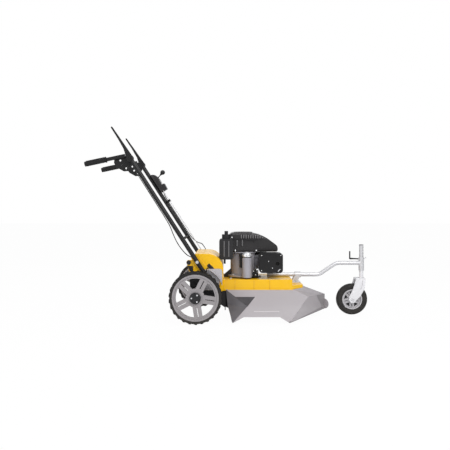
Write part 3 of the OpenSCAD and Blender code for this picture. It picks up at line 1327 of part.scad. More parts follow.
// Clutch cable under the right bar, and gear cable from the control box to the cowl
under_bar = bar_d / 2 + cable_d / 2 + seat_gap;
right_route = concat(
  [for (s = [bar_len - cable_head : -60 : 440]) by_bar(s, -under_bar, -bar_y)],
  [by_bar(405, -23, -224), by_bar(365, -32, -221), by_bar(320, -40, -216), by_bar(275, -43, -209),
   by_bar(230, -40, -201), by_bar(196, -33, -197), [-26, -196, 404], [-17.5, -196, 399]]
);
left_route = concat(
  [by_bar(box_s - cable_out, 26, 229), by_bar(box_s - cable_turn, 19, 231)],
  [for (s = [box_s - cable_run : -60 : 310]) by_bar(s, 16.4, 232)],
  [by_bar(270, 20, 228), by_bar(240, 29, 220), by_bar(215, 42, 208), [18, 195, 472], [30, 184, 455], [41, 174, 441], [48, 167, 428.4]]
);
module control_cables() placed() color(black) {
  cable(right_route, cable_d);
  cable(left_route, cable_d);
}

deck();
side_plates();
belt_cowl();
wheel_guards();
skirt();
rear_flap();
front_arm();
arm_saddle();
deck_bolts();
engine_block();
cylinder_head();
blower_shroud();
starter_cover();
fuel_tank();
muffler();
muffler_guard();
oil_filler();
starter_motor();
air_filter();
spindle_housing();
gearbox_housing();
bearings();
cutter_belt();
traction_belt();
handlebar_right();
handlebar_left();
handlebar_brace();
control_box();
control_cables();
crankshaft();
flywheel();
cutter_spindle();
cutter_head();
trimmer_lines();
gearbox_input();
rear_axle();
rim_right();
tyre_right();
hub_cap_right();
rim_left();
tyre_left();
hub_cap_left();
height_post();
castor_fork();
castor_axle();
castor_rim();
castor_tyre();
height_pin();
grip_arm_right();
grip_right();
lever_right();
grip_arm_left();
grip_left();
lever_left();
shift_lever();
shift_rod();
cutter_idler();
traction_idler();
cowl_knob();
fuel_cap();
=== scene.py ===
"""Studio scene of a three-wheeled walk-behind trimmer for rough grass.

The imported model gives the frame: every class below dresses one sub-assembly of
it, either with softened copies of its solids or with pieces of its own. The
frame is in metres, +X forwards, +Y to the machine's left, +Z up. The classes
hold millimetres, with X counted from the rear axle, unless a field says that
it is a share, an angle or a count.
"""

from __future__ import annotations

import json
import logging
import math
from collections.abc import Callable, Sequence
from dataclasses import dataclass
from enum import Enum

import bmesh
import bpy
from mathutils import Matrix, Vector


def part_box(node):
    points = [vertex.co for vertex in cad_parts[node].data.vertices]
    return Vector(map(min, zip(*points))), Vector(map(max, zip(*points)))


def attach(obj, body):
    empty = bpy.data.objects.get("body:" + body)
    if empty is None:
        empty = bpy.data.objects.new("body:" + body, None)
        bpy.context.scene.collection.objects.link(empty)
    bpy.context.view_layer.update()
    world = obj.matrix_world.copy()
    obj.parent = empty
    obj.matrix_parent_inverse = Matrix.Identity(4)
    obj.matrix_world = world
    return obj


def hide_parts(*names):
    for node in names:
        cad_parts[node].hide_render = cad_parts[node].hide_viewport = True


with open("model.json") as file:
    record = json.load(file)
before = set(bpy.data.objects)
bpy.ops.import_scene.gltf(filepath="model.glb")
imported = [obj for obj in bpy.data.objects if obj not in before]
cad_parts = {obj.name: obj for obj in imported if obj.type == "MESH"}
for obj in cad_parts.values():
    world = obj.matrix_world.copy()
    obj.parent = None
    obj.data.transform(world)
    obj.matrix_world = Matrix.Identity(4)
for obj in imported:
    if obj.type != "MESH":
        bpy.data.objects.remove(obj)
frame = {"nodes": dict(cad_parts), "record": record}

LOG = logging.getLogger("trimmer")
MM = 0.001
AXLE_X = -0.218951
IMAGE_PX = 450
SHARP_ANGLE = math.radians(32.0)
FLAT_ANGLE = math.radians(0.6)
MERGE_DISTANCE = 0.00002

Colour = tuple[float, float, float]
Span = tuple[float, float]
Spot = tuple[float, float, float]
Pairs = tuple[Span, ...]
Row = tuple[float, ...]
Corners = tuple[Spot, Spot]
Mesh = bmesh.types.BMesh
Face = bmesh.types.BMFace
Node = bpy.types.Node
Socket = bpy.types.NodeSocket
Tree = bpy.types.ShaderNodeTree

DUST: Colour = (0.34, 0.3, 0.24)


def at(x: float, y: float, z: float) -> Vector:
    """Give the frame's point at a place in millimetres from the rear axle, the middle and the ground."""
    return Vector((AXLE_X + x * MM, y * MM, z * MM))


def about(middle: float, half: float) -> Span:
    """Give the span that reaches equally far to both sides of a middle."""
    return middle - half, middle + half


class Axis(Enum):
    """The three directions of the model's frame."""

    X = Vector((1.0, 0.0, 0.0))
    Y = Vector((0.0, 1.0, 0.0))
    Z = Vector((0.0, 0.0, 1.0))

    @property
    def across(self) -> Vector:
        """Give the direction that a lathe's profile stands out in."""
        order = list(Axis)
        return order[(order.index(self) + 1) % len(order)].value


class Side(Enum):
    """The machine's two sides, as signs of Y."""

    RIGHT = -1
    LEFT = 1

    @property
    def word(self) -> str:
        """Give the side's name as the nodes spell it."""
        return self.name.lower()


@dataclass(frozen=True)
class Box:
    """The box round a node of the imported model.

    Attributes:
        low: its lowest corner.
        high: its highest corner.
    """

    low: Vector
    high: Vector

    @staticmethod
    def of(node: str) -> "Box":
        """Measure a node at rest."""
        low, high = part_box(node)
        return Box(Vector(low), Vector(high))

    @property
    def centre(self) -> Vector:
        """Give the middle of the box."""
        return (self.low + self.high) / 2.0

    @property
    def size(self) -> Vector:
        """Give the box's three lengths."""
        return self.high - self.low


@dataclass
class Graph:
    """A node tree that is put together node by node.

    Attributes:
        tree: the tree.
    """

    tree: Tree

    @staticmethod
    def group(name: str, inputs: dict[str, float], *outputs: str) -> "Graph":
        """Start a node group with float sockets.

        Args:
            name: the group's name.
            inputs: the input sockets and their default values.
            outputs: the output sockets' names.

        Returns:
            The new group.
        """
        tree = bpy.data.node_groups.new(name, "ShaderNodeTree")
        for socket, value in inputs.items():
            made = tree.interface.new_socket(socket, in_out="INPUT", socket_type="NodeSocketFloat")
            made.default_value = value
        for socket in outputs:
            tree.interface.new_socket(socket, in_out="OUTPUT", socket_type="NodeSocketFloat")
        return Graph(tree)

    def feed(self, node: Node, inputs: dict[str | int, object]) -> Node:
        """Set a node's inputs.

        Args:
            node: the node.
            inputs: for each input a value, or the socket that drives it.

        Returns:
            The same node.
        """
        for key, value in inputs.items():
            if isinstance(value, Socket):
                self.tree.links.new(value, node.inputs[key])
            else:
                node.inputs[key].default_value = value
        return node

    def add(self, kind: str, inputs: dict[str | int, object] | None = None, **settings: object) -> Node:
        """Add a node.

        Args:
            kind: its type, without the prefix that all shader nodes have.
            inputs: for each input a value, or the socket that drives it.
            settings: its other properties.

        Returns:
            The node.
        """
        node = self.tree.nodes.new(f"ShaderNode{kind}")
        for name, value in settings.items():
            setattr(node, name, value)
        return self.feed(node, inputs or {})

    def math(self, operation: str, *terms: Socket | float, clamp: bool = False) -> Socket:
        """Add a step of arithmetic on sockets or numbers, and give its result."""
        return self.add("Math", dict(enumerate(terms)), operation=operation, use_clamp=clamp).outputs[0]

    def noise(self, scale: Socket | float, detail: float) -> Socket:
        """Add a noise texture on Object coordinates, and give its value."""
        place = self.add("TexCoord").outputs["Object"]
        return self.add("TexNoise", {"Vector": place, "Scale": scale, "Detail": detail}).outputs["Fac"]

    def ranged(self, mask: Socket, low: float, high: float) -> Socket:
        """Spread a mask of 0 to 1 between two values, and give the value."""
        return self.add("MapRange", {"Value": mask, "To Min": low, "To Max": high}).outputs["Result"]

    def mix(self, mask: Socket, first: Socket | Colour, second: Colour) -> Socket:
        """Lay a second colour over a first where a mask says, and give the blend."""
        under = first if isinstance(first, Socket) else (*first, 1.0)
        return self.add("Mix", {"Factor": mask, "A": under, "B": (*second, 1.0)}, data_type="RGBA").outputs["Result"]


@dataclass
class Effects:
    """Shader node groups that several finishes share.

    Attributes:
        fine_detail: the detail of a grain's height.
        slow_detail: the detail of a grain's mottle.
        wear_noise: the scale and the detail of the noise that breaks up rubbed corners.
        wear_break: the level of that noise from which a corner is rubbed.
        wear_radius: how far from a corner the rubbing reaches, in metres.
        wear_samples: how many rays look for a corner.
        wear_turn: the cosines of the corner's turn where rubbing starts and where it is full.
        dust_noise: the scale and the detail of the noise that spreads dust.
    """

    fine_detail: float = 3.0
    slow_detail: float = 4.0
    wear_noise: Span = (60.0, 6.0)
    wear_break: float = 0.5
    wear_radius: float = 0.0018
    wear_samples: int = 4
    wear_turn: Span = (0.985, 0.86)
    dust_noise: Span = (25.0, 8.0)

    def __post_init__(self) -> None:
        """Build every group once."""
        self.grain = self._grain()
        self.edge_wear = self._edge_wear()
        self.settled_dust = self._settled_dust()

    def _grain(self) -> Tree:
        """Make a moulded or cast grain: a height, and a slow mottle of tone.

        Returns:
            The group, with Scale and Mottle Scale in, and Height and Mottle out.
        """
        graph = Graph.group("Surface grain", {"Scale": 400.0, "Mottle Scale": 9.0}, "Height", "Mottle")
        given = graph.tree.nodes.new("NodeGroupInput").outputs
        fine = graph.noise(given["Scale"], self.fine_detail)
        slow = graph.noise(given["Mottle Scale"], self.slow_detail)
        graph.feed(graph.tree.nodes.new("NodeGroupOutput"), {"Height": fine, "Mottle": slow})
        return graph.tree

    def _edge_wear(self) -> Tree:
        """Make a mask of rubbed corners, broken up by noise.

        Returns:
            The group, with Amount in and Mask out.
        """
        graph = Graph.group("Edge wear", {"Amount": 0.5}, "Mask")
        given = graph.tree.nodes.new("NodeGroupInput").outputs
        shape = graph.add("NewGeometry")
        soft = graph.add("Bevel", {"Radius": self.wear_radius}, samples=self.wear_samples)
        normals = {0: soft.outputs["Normal"], 1: shape.outputs["Normal"]}
        turn = graph.add("VectorMath", normals, operation="DOT_PRODUCT").outputs["Value"]
        start, full = self.wear_turn
        raised = graph.add("MapRange", {"Value": turn, "From Min": start, "From Max": full}).outputs["Result"]
        broken = graph.math("GREATER_THAN", graph.noise(*self.wear_noise), self.wear_break)
        both = graph.math("MULTIPLY", raised, broken)
        mask = graph.math("MULTIPLY", both, given["Amount"])
        graph.feed(graph.tree.nodes.new("NodeGroupOutput"), {"Mask": mask})
        return graph.tree

    def _settled_dust(self) -> Tree:
        """Make a mask of dust that thins out with height above the ground.

        Returns:
            The group, with Amount and Reach in and Mask out.
        """
        graph = Graph.group("Settled dust", {"Amount": 0.3, "Reach": 0.35}, "Mask")
        given = graph.tree.nodes.new("NodeGroupInput").outputs
        split = graph.add("SeparateXYZ", {"Vector": graph.add("TexCoord").outputs["Object"]})
        height = graph.math("DIVIDE", split.outputs["Z"], given["Reach"])
        near = graph.math("SUBTRACT", 1.0, height, clamp=True)
        spread = graph.math("MULTIPLY", near, graph.noise(*self.dust_noise))
        mask = graph.math("MULTIPLY", spread, given["Amount"])
        graph.feed(graph.tree.nodes.new("NodeGroupOutput"), {"Mask": mask})
        return graph.tree


@dataclass(frozen=True)
class Finish:
    """One surface finish and the numbers that its material is made from.

    Attributes:
        name: the material's name.
        slot: the record's material slot that it belongs to.
        colour: its main colour.
        shade: the colour that its slow mottle leans to.
        roughness: its mean roughness.
        grain: how fine its grain is, and how deep in millimetres.
        metallic: 1 for bare metal.
        coat: the weight of its clear top layer.
        worn: the colour that shows on rubbed corners.
        wear: how much of the corners is rubbed.
        dust: how much dust has settled low down.
        alpha: how much of it hides what is behind.
        specular: the level of its mirror-like reflection.
        coat_roughness: the roughness of the clear top layer.
        bump: the strength of the grain.
        uneven: how far the mottle moves the roughness.
        least_rough: the least roughness that it is left with.
        uneven_alpha: how far the mottle moves the alpha.
    """

    name: str
    slot: str
    colour: Colour
    shade: Colour
    roughness: float
    grain: Span
    metallic: float = 0.0
    coat: float = 0.0
    worn: Colour = (0.5, 0.5, 0.5)
    wear: float = 0.0
    dust: float = 0.0
    alpha: float = 1.0
    specular: float = 0.5
    coat_roughness: float = 0.12
    bump: float = 0.6
    uneven: float = 0.08
    least_rough: float = 0.03
    uneven_alpha: float = 0.05

    def build(self, effects: Effects) -> bpy.types.Material:
        """Make the material.

        Args:
            effects: the shared node groups.

        Returns:
            The finished material.
        """
        material = bpy.data.materials.new(self.name)
        material.use_nodes = True
        graph = Graph(material.node_tree)
        fineness, depth = self.grain
        grain = graph.add("Group", {"Scale": fineness}, node_tree=effects.grain).outputs
        mottle = grain["Mottle"]
        tone = graph.mix(mottle, self.colour, self.shade)
        marks = ((self.wear, effects.edge_wear, self.worn), (self.dust, effects.settled_dust, DUST))
        for amount, group, colour in marks:
            if amount > 0.0:
                mask = graph.add("Group", {"Amount": amount}, node_tree=group).outputs["Mask"]
                tone = graph.mix(mask, tone, colour)
        bump = graph.add("Bump", {"Strength": self.bump, "Distance": depth * MM, "Height": grain["Height"]})
        smooth, rough = about(self.roughness, self.uneven)
        inputs = {
            "Metallic": self.metallic,
            "Specular IOR Level": self.specular,
            "Coat Weight": self.coat,
            "Coat Roughness": self.coat_roughness,
            "Base Color": tone,
            "Roughness": graph.ranged(mottle, max(smooth, self.least_rough), min(rough, 1.0)),
            "Normal": bump.outputs["Normal"],
        }
        if self.alpha < 1.0:
            inputs["Alpha"] = graph.ranged(mottle, *about(self.alpha, self.uneven_alpha))
        graph.feed(graph.tree.nodes["Principled BSDF"], inputs)
        material.diffuse_color = (*self.colour, 1.0)
        return material


class Surface(Enum):
    """Every finish on the machine."""

    YELLOW_PAINT = Finish(
        "Yellow paint", "yellow_paint", (0.9, 0.512, 0.003), (0.83, 0.465, 0.003), 0.36, (900.0, 0.02),
        coat=0.2, worn=(0.3, 0.28, 0.25), wear=0.3, dust=0.06, specular=0.3,
    )
    # Darker paint as painted shade along the deck's creases.
    SEAM_PAINT = Finish("Seam paint", "yellow_paint", (0.5, 0.25, 0.008), (0.42, 0.2, 0.007), 0.5, (900.0, 0.04))
    BLACK_PAINT = Finish(
        "Black paint", "black_paint", (0.008, 0.0075, 0.008), (0.014, 0.0135, 0.014), 0.4, (900.0, 0.03),
        coat=0.05, worn=(0.16, 0.16, 0.16), wear=0.3, specular=0.25,
    )
    HEAT_BLACK = Finish(
        "Heat black", "black_paint", (0.006, 0.006, 0.006), (0.012, 0.011, 0.01), 0.7, (500.0, 0.1), specular=0.15,
    )
    ZINC = Finish(
        "Zinc plate", "zinc", (0.66, 0.655, 0.67), (0.58, 0.575, 0.59), 0.38, (160.0, 0.02),
        metallic=0.4, worn=(0.8, 0.8, 0.8), wear=0.2, dust=0.08,
    )
    FORK_ZINC = Finish(
        "Fork zinc", "zinc", (0.84, 0.832, 0.85), (0.76, 0.752, 0.77), 0.38, (160.0, 0.02),
        metallic=0.4, worn=(0.85, 0.85, 0.85), wear=0.2, dust=0.06,
    )
    BRIGHT_ZINC = Finish(
        "Bright zinc", "zinc", (0.85, 0.85, 0.86), (0.76, 0.76, 0.78), 0.24, (400.0, 0.01), metallic=0.6,
    )
    GUARD_ZINC = Finish(
        "Guard zinc", "zinc", (0.55, 0.53, 0.55), (0.47, 0.455, 0.47), 0.45, (220.0, 0.04),
        metallic=0.45, worn=(0.7, 0.7, 0.7), wear=0.2, dust=0.12,
    )
    STEEL = Finish("Bare steel", "steel", (0.4, 0.4, 0.41), (0.3, 0.3, 0.31), 0.36, (300.0, 0.03), metallic=1.0)
    CASTING = Finish(
        "Cast aluminium", "casting", (0.4, 0.388, 0.42), (0.315, 0.306, 0.332), 0.6, (420.0, 0.3),
        metallic=0.15, specular=0.3,
    )
    ENGINE_PLASTIC = Finish(
        "Engine plastic", "engine_plastic", (0.022, 0.0205, 0.021), (0.034, 0.032, 0.033), 0.3, (1100.0, 0.06),
        specular=0.3,
    )
    # Paler plastic as painted highlights on the hood's louvres and ribs and on the tank's ribs.
    TRIM_PLASTIC = Finish(
        "Trim plastic", "engine_plastic", (0.11, 0.107, 0.109), (0.14, 0.136, 0.139), 0.36, (900.0, 0.06),
        specular=0.4,
    )
    BLACK_PLASTIC = Finish(
        "Black plastic", "engine_plastic", (0.016, 0.016, 0.017), (0.026, 0.0255, 0.027), 0.5, (900.0, 0.08),
        specular=0.25,
    )
    RIM_PLASTIC = Finish(
        "Rim plastic", "rim_plastic", (0.31, 0.29, 0.3), (0.26, 0.243, 0.25), 0.42, (800.0, 0.05), dust=0.12,
    )
    CASTOR_PLASTIC = Finish(
        "Castor plastic", "rim_plastic", (0.5, 0.485, 0.5), (0.43, 0.417, 0.43), 0.42, (800.0, 0.05), dust=0.1,
    )
    SKIRT_PLASTIC = Finish(
        "Skirt plastic", "skirt_plastic", (0.48, 0.447, 0.465), (0.42, 0.39, 0.407), 0.36, (700.0, 0.04),
        dust=0.1, alpha=0.84,
    )
    # Paler plastic as a painted highlight line along the skirt's sides.
    BEAD_PLASTIC = Finish(
        "Bead plastic", "skirt_plastic", (0.74, 0.705, 0.725), (0.66, 0.63, 0.645), 0.36, (700.0, 0.04),
        dust=0.1, alpha=0.84,
    )
    # Dark plastic as painted shade, on the skirt's rear facets and at the castor post's open end.
    GUSSET_PLASTIC = Finish(
        "Gusset plastic", "skirt_plastic", (0.1, 0.094, 0.103), (0.14, 0.132, 0.143), 0.4, (700.0, 0.04),
        dust=0.1, alpha=0.9,
    )
    # Darker plastic as painted shade on the outward faces of the skirt's front lips.
    LIP_PLASTIC = Finish(
        "Lip plastic", "skirt_plastic", (0.3, 0.28, 0.29), (0.25, 0.233, 0.242), 0.4, (700.0, 0.04),
        dust=0.15, alpha=0.92,
    )
    RUBBER = Finish(
        "Grip rubber", "rubber", (0.011, 0.0105, 0.011), (0.018, 0.0175, 0.018), 0.68, (1200.0, 0.12), specular=0.25,
    )
    TYRE = Finish(
        "Tyre rubber", "tyre", (0.011, 0.0103, 0.0107), (0.019, 0.0178, 0.0183), 0.75, (800.0, 0.2),
        dust=0.12, specular=0.25,
    )
    BELT = Finish("Belt rubber", "rubber", (0.02, 0.02, 0.02), (0.035, 0.034, 0.033), 0.8, (1500.0, 0.2))
    LINE = Finish("Cutting line", "line", (0.55, 0.1, 0.02), (0.45, 0.08, 0.02), 0.4, (900.0, 0.04))


Softened = tuple[tuple[str, Surface, float, int], ...]
Painted = tuple[tuple[Surface, tuple[str, ...]], ...]


class Workshop:
    """Makes bmesh shapes, turns them into pieces and hangs them on bodies."""

    def __init__(self) -> None:
        """Build every finish once and learn which body carries each node."""
        effects = Effects()
        self.materials = {surface: surface.value.build(effects) for surface in Surface}
        bodies = frame["record"]["behaviour"]["bodies"]
        self.carrier = {node: body for body, nodes in bodies.items() for node in nodes}
        self.count = 0

    @staticmethod
    def closed(shape: Mesh) -> None:
        """Merge doubles and turn every face outwards."""
        bmesh.ops.remove_doubles(shape, verts=shape.verts, dist=MERGE_DISTANCE)
        bmesh.ops.recalc_face_normals(shape, faces=shape.faces)

    @staticmethod
    def mirrored(profile: list[Span]) -> list[Span]:
        """Close half a lathe profile with its mirror image."""
        return profile + [(radius, -height) for radius, height in reversed(profile)]

    @staticmethod
    def spun(profile: Sequence[Span], centre: Vector, axis: Axis, steps: int) -> Mesh:
        """Turn a profile on a lathe.

        Args:
            profile: millimetres of radius and height along the axis, a closed loop.
            centre: the point that the heights start from.
            axis: the lathe's axis.
            steps: facets round.

        Returns:
            A closed mesh.
        """
        shape = bmesh.new()
        line = axis.value
        places = (centre + axis.across * (radius * MM) + line * (height * MM) for radius, height in profile)
        points = [shape.verts.new(place) for place in places]
        edges = [shape.edges.new(ends) for ends in zip(points, points[1:] + points[:1])]
        bmesh.ops.spin(shape, geom=points + edges, cent=centre, axis=line, angle=math.tau, steps=steps, use_merge=True)
        Workshop.closed(shape)
        return shape

    @staticmethod
    def slab(corners: Sequence[Span], near: float, far: float, radius: float = 0.0, segments: int = 2) -> Mesh:
        """Cut a slab that stands along the machine.

        Args:
            corners: its outline from the side, in millimetres of X and Z.
            near: where one of its faces lies, in millimetres of Y.
            far: where the other lies.
            radius: its edges' radius, in millimetres.
            segments: facets across the rounding.

        Returns:
            A closed mesh.
        """
        shape = bmesh.new()
        low, high = sorted((near, far))
        face = shape.faces.new([shape.verts.new(at(x, low, z)) for x, z in corners])
        grown = bmesh.ops.extrude_face_region(shape, geom=[face])
        moved = [item for item in grown["geom"] if isinstance(item, bmesh.types.BMVert)]
        bmesh.ops.translate(shape, verts=moved, vec=Axis.Y.value * ((high - low) * MM))
        Workshop.closed(shape)
        if radius:
            Workshop.rounded(shape, radius, segments)
        return shape

    @staticmethod
    def twin_slabs(corners: Sequence[Span], near: float, far: float, radius: float) -> list[Mesh]:
        """Cut the right and the left slab, with faces at two distances from the middle."""
        return [Workshop.slab(corners, side.value * near, side.value * far, radius) for side in Side]

    @staticmethod
    def block(low: Vector, high: Vector, radius: float, turn: Matrix | None = None) -> Mesh:
        """Make a box with rounded edges.

        Args:
            low: its lowest corner.
            high: its highest corner.
            radius: its edges' radius, in millimetres.
            turn: a rotation about the box's own centre.

        Returns:
            A closed mesh.
        """
        shape = bmesh.new()
        turned = (turn or Matrix.Identity(3)).to_4x4()
        place = Matrix.Translation((low + high) / 2.0) @ turned @ Matrix.Diagonal((*(high - low), 1.0))
        bmesh.ops.create_cube(shape, size=1.0, matrix=place)
        Workshop.rounded(shape, radius)
        return shape

    @staticmethod
    def twin_blocks(xs: Span, ys: Span, zs: Span, radius: float, lean: float = 0.0) -> list[Mesh]:
        """Make a box for each side of the machine.

        Args:
            xs: where they start and end along the machine.
            ys: how far from the middle they start and end.
            zs: where they start and end upwards.
            radius: their edges' radius, in millimetres.
            lean: how far their tops lean in, as an angle.

        Returns:
            The right and the left box.
        """
        shapes = []
        for side in Side:
            low, high = sorted(side.value * y for y in ys)
            turn = Matrix.Rotation(side.value * lean, 3, "X")
            shapes.append(Workshop.block(at(xs[0], low, zs[0]), at(xs[1], high, zs[1]), radius, turn))
        return shapes

    @staticmethod
    def bevelled(shape: Mesh, edges: list[bmesh.types.BMEdge], radius: float, segments: int) -> None:
        """Round chosen edges of a mesh by a radius in millimetres."""
        bmesh.ops.bevel(
            shape, geom=edges, offset=radius * MM, segments=segments, profile=0.5, affect="EDGES", material=-1,
            clamp_overlap=True,
        )

    @staticmethod
    def rounded(shape: Mesh, radius: float, segments: int = 3) -> None:
        """Round every sharp edge of a mesh by a radius in millimetres."""
        sharp = [edge for edge in shape.edges if edge.is_manifold and edge.calc_face_angle() > SHARP_ANGLE]
        Workshop.bevelled(shape, sharp, radius, segments)

    @staticmethod
    def moved(shape: Mesh, place: Vector, turn: Matrix) -> Mesh:
        """Turn a mesh about the frame's origin, carry it to its place and give it back."""
        bmesh.ops.transform(shape, matrix=Matrix.Translation(place) @ turn, verts=shape.verts)
        return shape

    @staticmethod
    def joined(shapes: Sequence[Mesh]) -> Mesh:
        """Put several meshes into one.

        Args:
            shapes: the meshes, which are used up.

        Returns:
            One mesh with all of them.
        """
        whole = bmesh.new()
        for shape in shapes:
            carried = bpy.data.meshes.new("carried")
            shape.to_mesh(carried)
            shape.free()
            whole.from_mesh(carried)
            bpy.data.meshes.remove(carried)
        return whole

    @staticmethod
    def copied(node: str) -> Mesh:
        """Copy a node's solids, merged into clean faces.

        Args:
            node: the node's name.

        Returns:
            The merged copy.
        """
        shape = bmesh.new()
        shape.from_mesh(frame["nodes"][node].data)
        bmesh.ops.remove_doubles(shape, verts=shape.verts, dist=MERGE_DISTANCE)
        bmesh.ops.dissolve_limit(shape, angle_limit=FLAT_ANGLE, verts=shape.verts, edges=shape.edges)
        return shape

    def hang(
        self, name: str, surface: Surface, *shapes: Mesh, replaces: tuple[str, ...] = (), on: str = "", slot: str = "",
    ) -> bpy.types.Object:
        """Turn meshes into one piece that rides on a body.

        Args:
            name: the piece's name.
            surface: its finish.
            shapes: its meshes, which are used up.
            replaces: the nodes that it stands for.
            on: the node that it rides with, if that isn't the first one replaced or the deck.
            slot: the record's material slot, if that isn't the finish's own; it is not used.

        Returns:
            The piece.
        """
        body = self.carrier[on or (replaces[0] if replaces else "deck")]
        slot = slot or surface.value.slot
        shape = shapes[0] if len(shapes) == 1 else self.joined(shapes)
        for face in shape.faces:
            face.smooth = True
        for edge in shape.edges:
            edge.smooth = edge.is_manifold and edge.calc_face_angle() < SHARP_ANGLE
        mesh = bpy.data.meshes.new(name)
        shape.to_mesh(mesh)
        shape.free()
        piece = bpy.data.objects.new(name, mesh)
        bpy.context.scene.collection.objects.link(piece)
        mesh.materials.append(self.materials[surface])
        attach(piece, body)
        if replaces:
            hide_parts(*replaces)
        self.count += 1
        LOG.info("%s: %d faces on %s", name, len(mesh.polygons), body)
        return piece

    def soften(self, node: str, surface: Surface, width: float, segments: int) -> None:
        """Replace a node by a copy of it with its sharp edges rounded.

        Args:
            node: the node's name.
            surface: the copy's finish.
            width: the rounding's width, in millimetres.
            segments: facets across the rounding.
        """
        piece = self.hang(f"{node}_soft", surface, self.copied(node), replaces=(node,))
        edge = piece.modifiers.new("Rounded edges", "BEVEL")
        edge.width, edge.segments, edge.profile = width * MM, segments, 0.5
        edge.limit_method, edge.angle_limit = "ANGLE", SHARP_ANGLE
        edge.harden_normals = True


@dataclass
class Studio:
    """The floor, the backdrop, the lamps and the camera, placed in metres.

    Attributes:
        focal_px: the camera's focal length, in pixels of the photograph.
        centre_px: the photograph's point that lies straight ahead.
        sensor: the width of the camera's sensor, in millimetres.
        stand: where the camera stands.
        ambient: the colour and strength of the light from all round.
        floor: the floor's half width, and how far it lies below the wheels.
        floor_grey: the floor's brightness and roughness.
        floor_glow: how much of the floor is plain white to the camera.
        lamps: each lamp's name, place, aim, power and width.
    """

    focal_px: float = 500.0
    centre_px: Span = (224.0, 213.0)
    sensor: float = 36.0
    stand: Spot = (-0.042, -3.4, 0.689)
    ambient: tuple[Colour, float] = ((0.95, 0.97, 1.0), 0.44)
    floor: Span = (30.0, 0.0005)
    floor_grey: Span = (0.9, 0.9)
    floor_glow: float = 0.975
    lamps: tuple[tuple[str, Spot, Spot, float, float], ...] = (
        ("key", (1.2, -2.7, 2.6), (0.0, 0.0, 0.4), 80.0, 2.0),
        ("fill", (-2.4, -2.2, 1.4), (-0.2, 0.0, 0.4), 26.0, 2.2),
        ("top", (0.2, 0.4, 3.0), (0.0, 0.0, 0.3), 16.0, 2.6),
        ("back", (0.0, 2.8, 1.8), (0.0, 0.0, 0.4), 18.0, 2.4),
    )

    def build(self) -> None:
        """Make everything that stands round the machine."""
        bpy.context.scene.view_settings.view_transform = "Standard"
        self._backdrop()
        self._floor()
        self._lamps()
        self._camera()

    @staticmethod
    def _stood(name: str, data: bpy.types.ID) -> bpy.types.Object:
        """Put a mesh, a lamp or a camera into the scene.

        Args:
            name: the object's name.
            data: what it holds.

        Returns:
            The object.
        """
        thing = bpy.data.objects.new(name, data)
        bpy.context.scene.collection.objects.link(thing)
        return thing

    def _backdrop(self) -> None:
        """Light the room softly and show it white behind the machine."""
        world = bpy.data.worlds.new("Studio")
        world.use_nodes = True
        world.node_tree.nodes.clear()
        graph = Graph(world.node_tree)
        path = graph.add("LightPath").outputs
        seen = graph.math("MAXIMUM", path["Is Camera Ray"], path["Is Transmission Ray"])
        colour, strength = self.ambient
        ambient = graph.add("Background", {"Color": (*colour, 1.0), "Strength": strength})
        white = graph.add("Background", {"Color": (1.0, 1.0, 1.0, 1.0)})
        mix = graph.add("MixShader", {0: seen, 1: ambient.outputs[0], 2: white.outputs[0]})
        graph.add("OutputWorld", {"Surface": mix.outputs[0]})
        bpy.context.scene.world = world

    def _floor(self) -> None:
        """Lay a pale floor that keeps the machine's shadow."""
        half, drop = self.floor
        shape = bmesh.new()
        place = Matrix.Translation((0.0, 0.0, -drop))
        bmesh.ops.create_grid(shape, x_segments=2, y_segments=2, size=half, matrix=place)
        mesh = bpy.data.meshes.new("floor")
        shape.to_mesh(mesh)
        shape.free()
        floor = self._stood("floor", mesh)
        material = bpy.data.materials.new("Floor")
        material.use_nodes = True
        graph = Graph(material.node_tree)
        grey, roughness = self.floor_grey
        inputs = {"Base Color": (grey, grey, grey, 1.0), "Roughness": roughness}
        shader = graph.feed(graph.tree.nodes["Principled BSDF"], inputs)
        share = graph.math("MULTIPLY", graph.add("LightPath").outputs["Is Camera Ray"], self.floor_glow)
        mix = graph.add("MixShader", {0: share, 1: shader.outputs[0], 2: graph.add("Emission").outputs[0]})
        graph.feed(graph.tree.nodes["Material Output"], {"Surface": mix.outputs[0]})
        mesh.materials.append(material)

    def _lamps(self) -> None:
        """Hang the lamps, each turned to its aim."""
        for name, place, aim, power, size in self.lamps:
            lamp = bpy.data.lights.new(name, "AREA")
            lamp.energy, lamp.size = power, size
            stand = self._stood(name, lamp)
            stand.location = place
            stand.rotation_euler = (Vector(aim) - Vector(place)).to_track_quat("-Z", "Y").to_euler()

    def _camera(self) -> None:
        """Stand the camera level at the machine's right side."""
        lens = bpy.data.cameras.new("camera")
        lens.sensor_width = self.sensor
        lens.lens = self.focal_px / IMAGE_PX * lens.sensor_width
        lens.shift_x = (IMAGE_PX / 2.0 - self.centre_px[0]) / IMAGE_PX
        lens.shift_y = (self.centre_px[1] - IMAGE_PX / 2.0) / IMAGE_PX
        camera = self._stood("camera", lens)
        camera.location = self.stand
        camera.rotation_euler = (math.pi / 2.0, 0.0, 0.0)
        bpy.context.scene.camera = camera


@dataclass
class Assembly:
    """One sub-assembly of the machine.

    Attributes:
        shop: the workshop that makes its pieces.
        soft: nodes to soften, each with its finish, its rounding and the rounding's facets.
        painted: nodes that keep their own shape, under their finish.
    """

    shop: Workshop
    soft: Softened = ()
    painted: Painted = ()

    def build(self) -> None:
        """Dress the listed nodes and add the trim."""
        for node, surface, width, segments in self.soft:
            self.shop.soften(node, surface, width, segments)
        for surface, nodes in self.painted:
            for node in nodes:
                mesh = frame["nodes"][node].data
                mesh.materials.clear()
                mesh.materials.append(self.shop.materials[surface])
        self.trim()

    def trim(self) -> None:
        """Add the pieces of the sub-assembly's own, if it has any."""


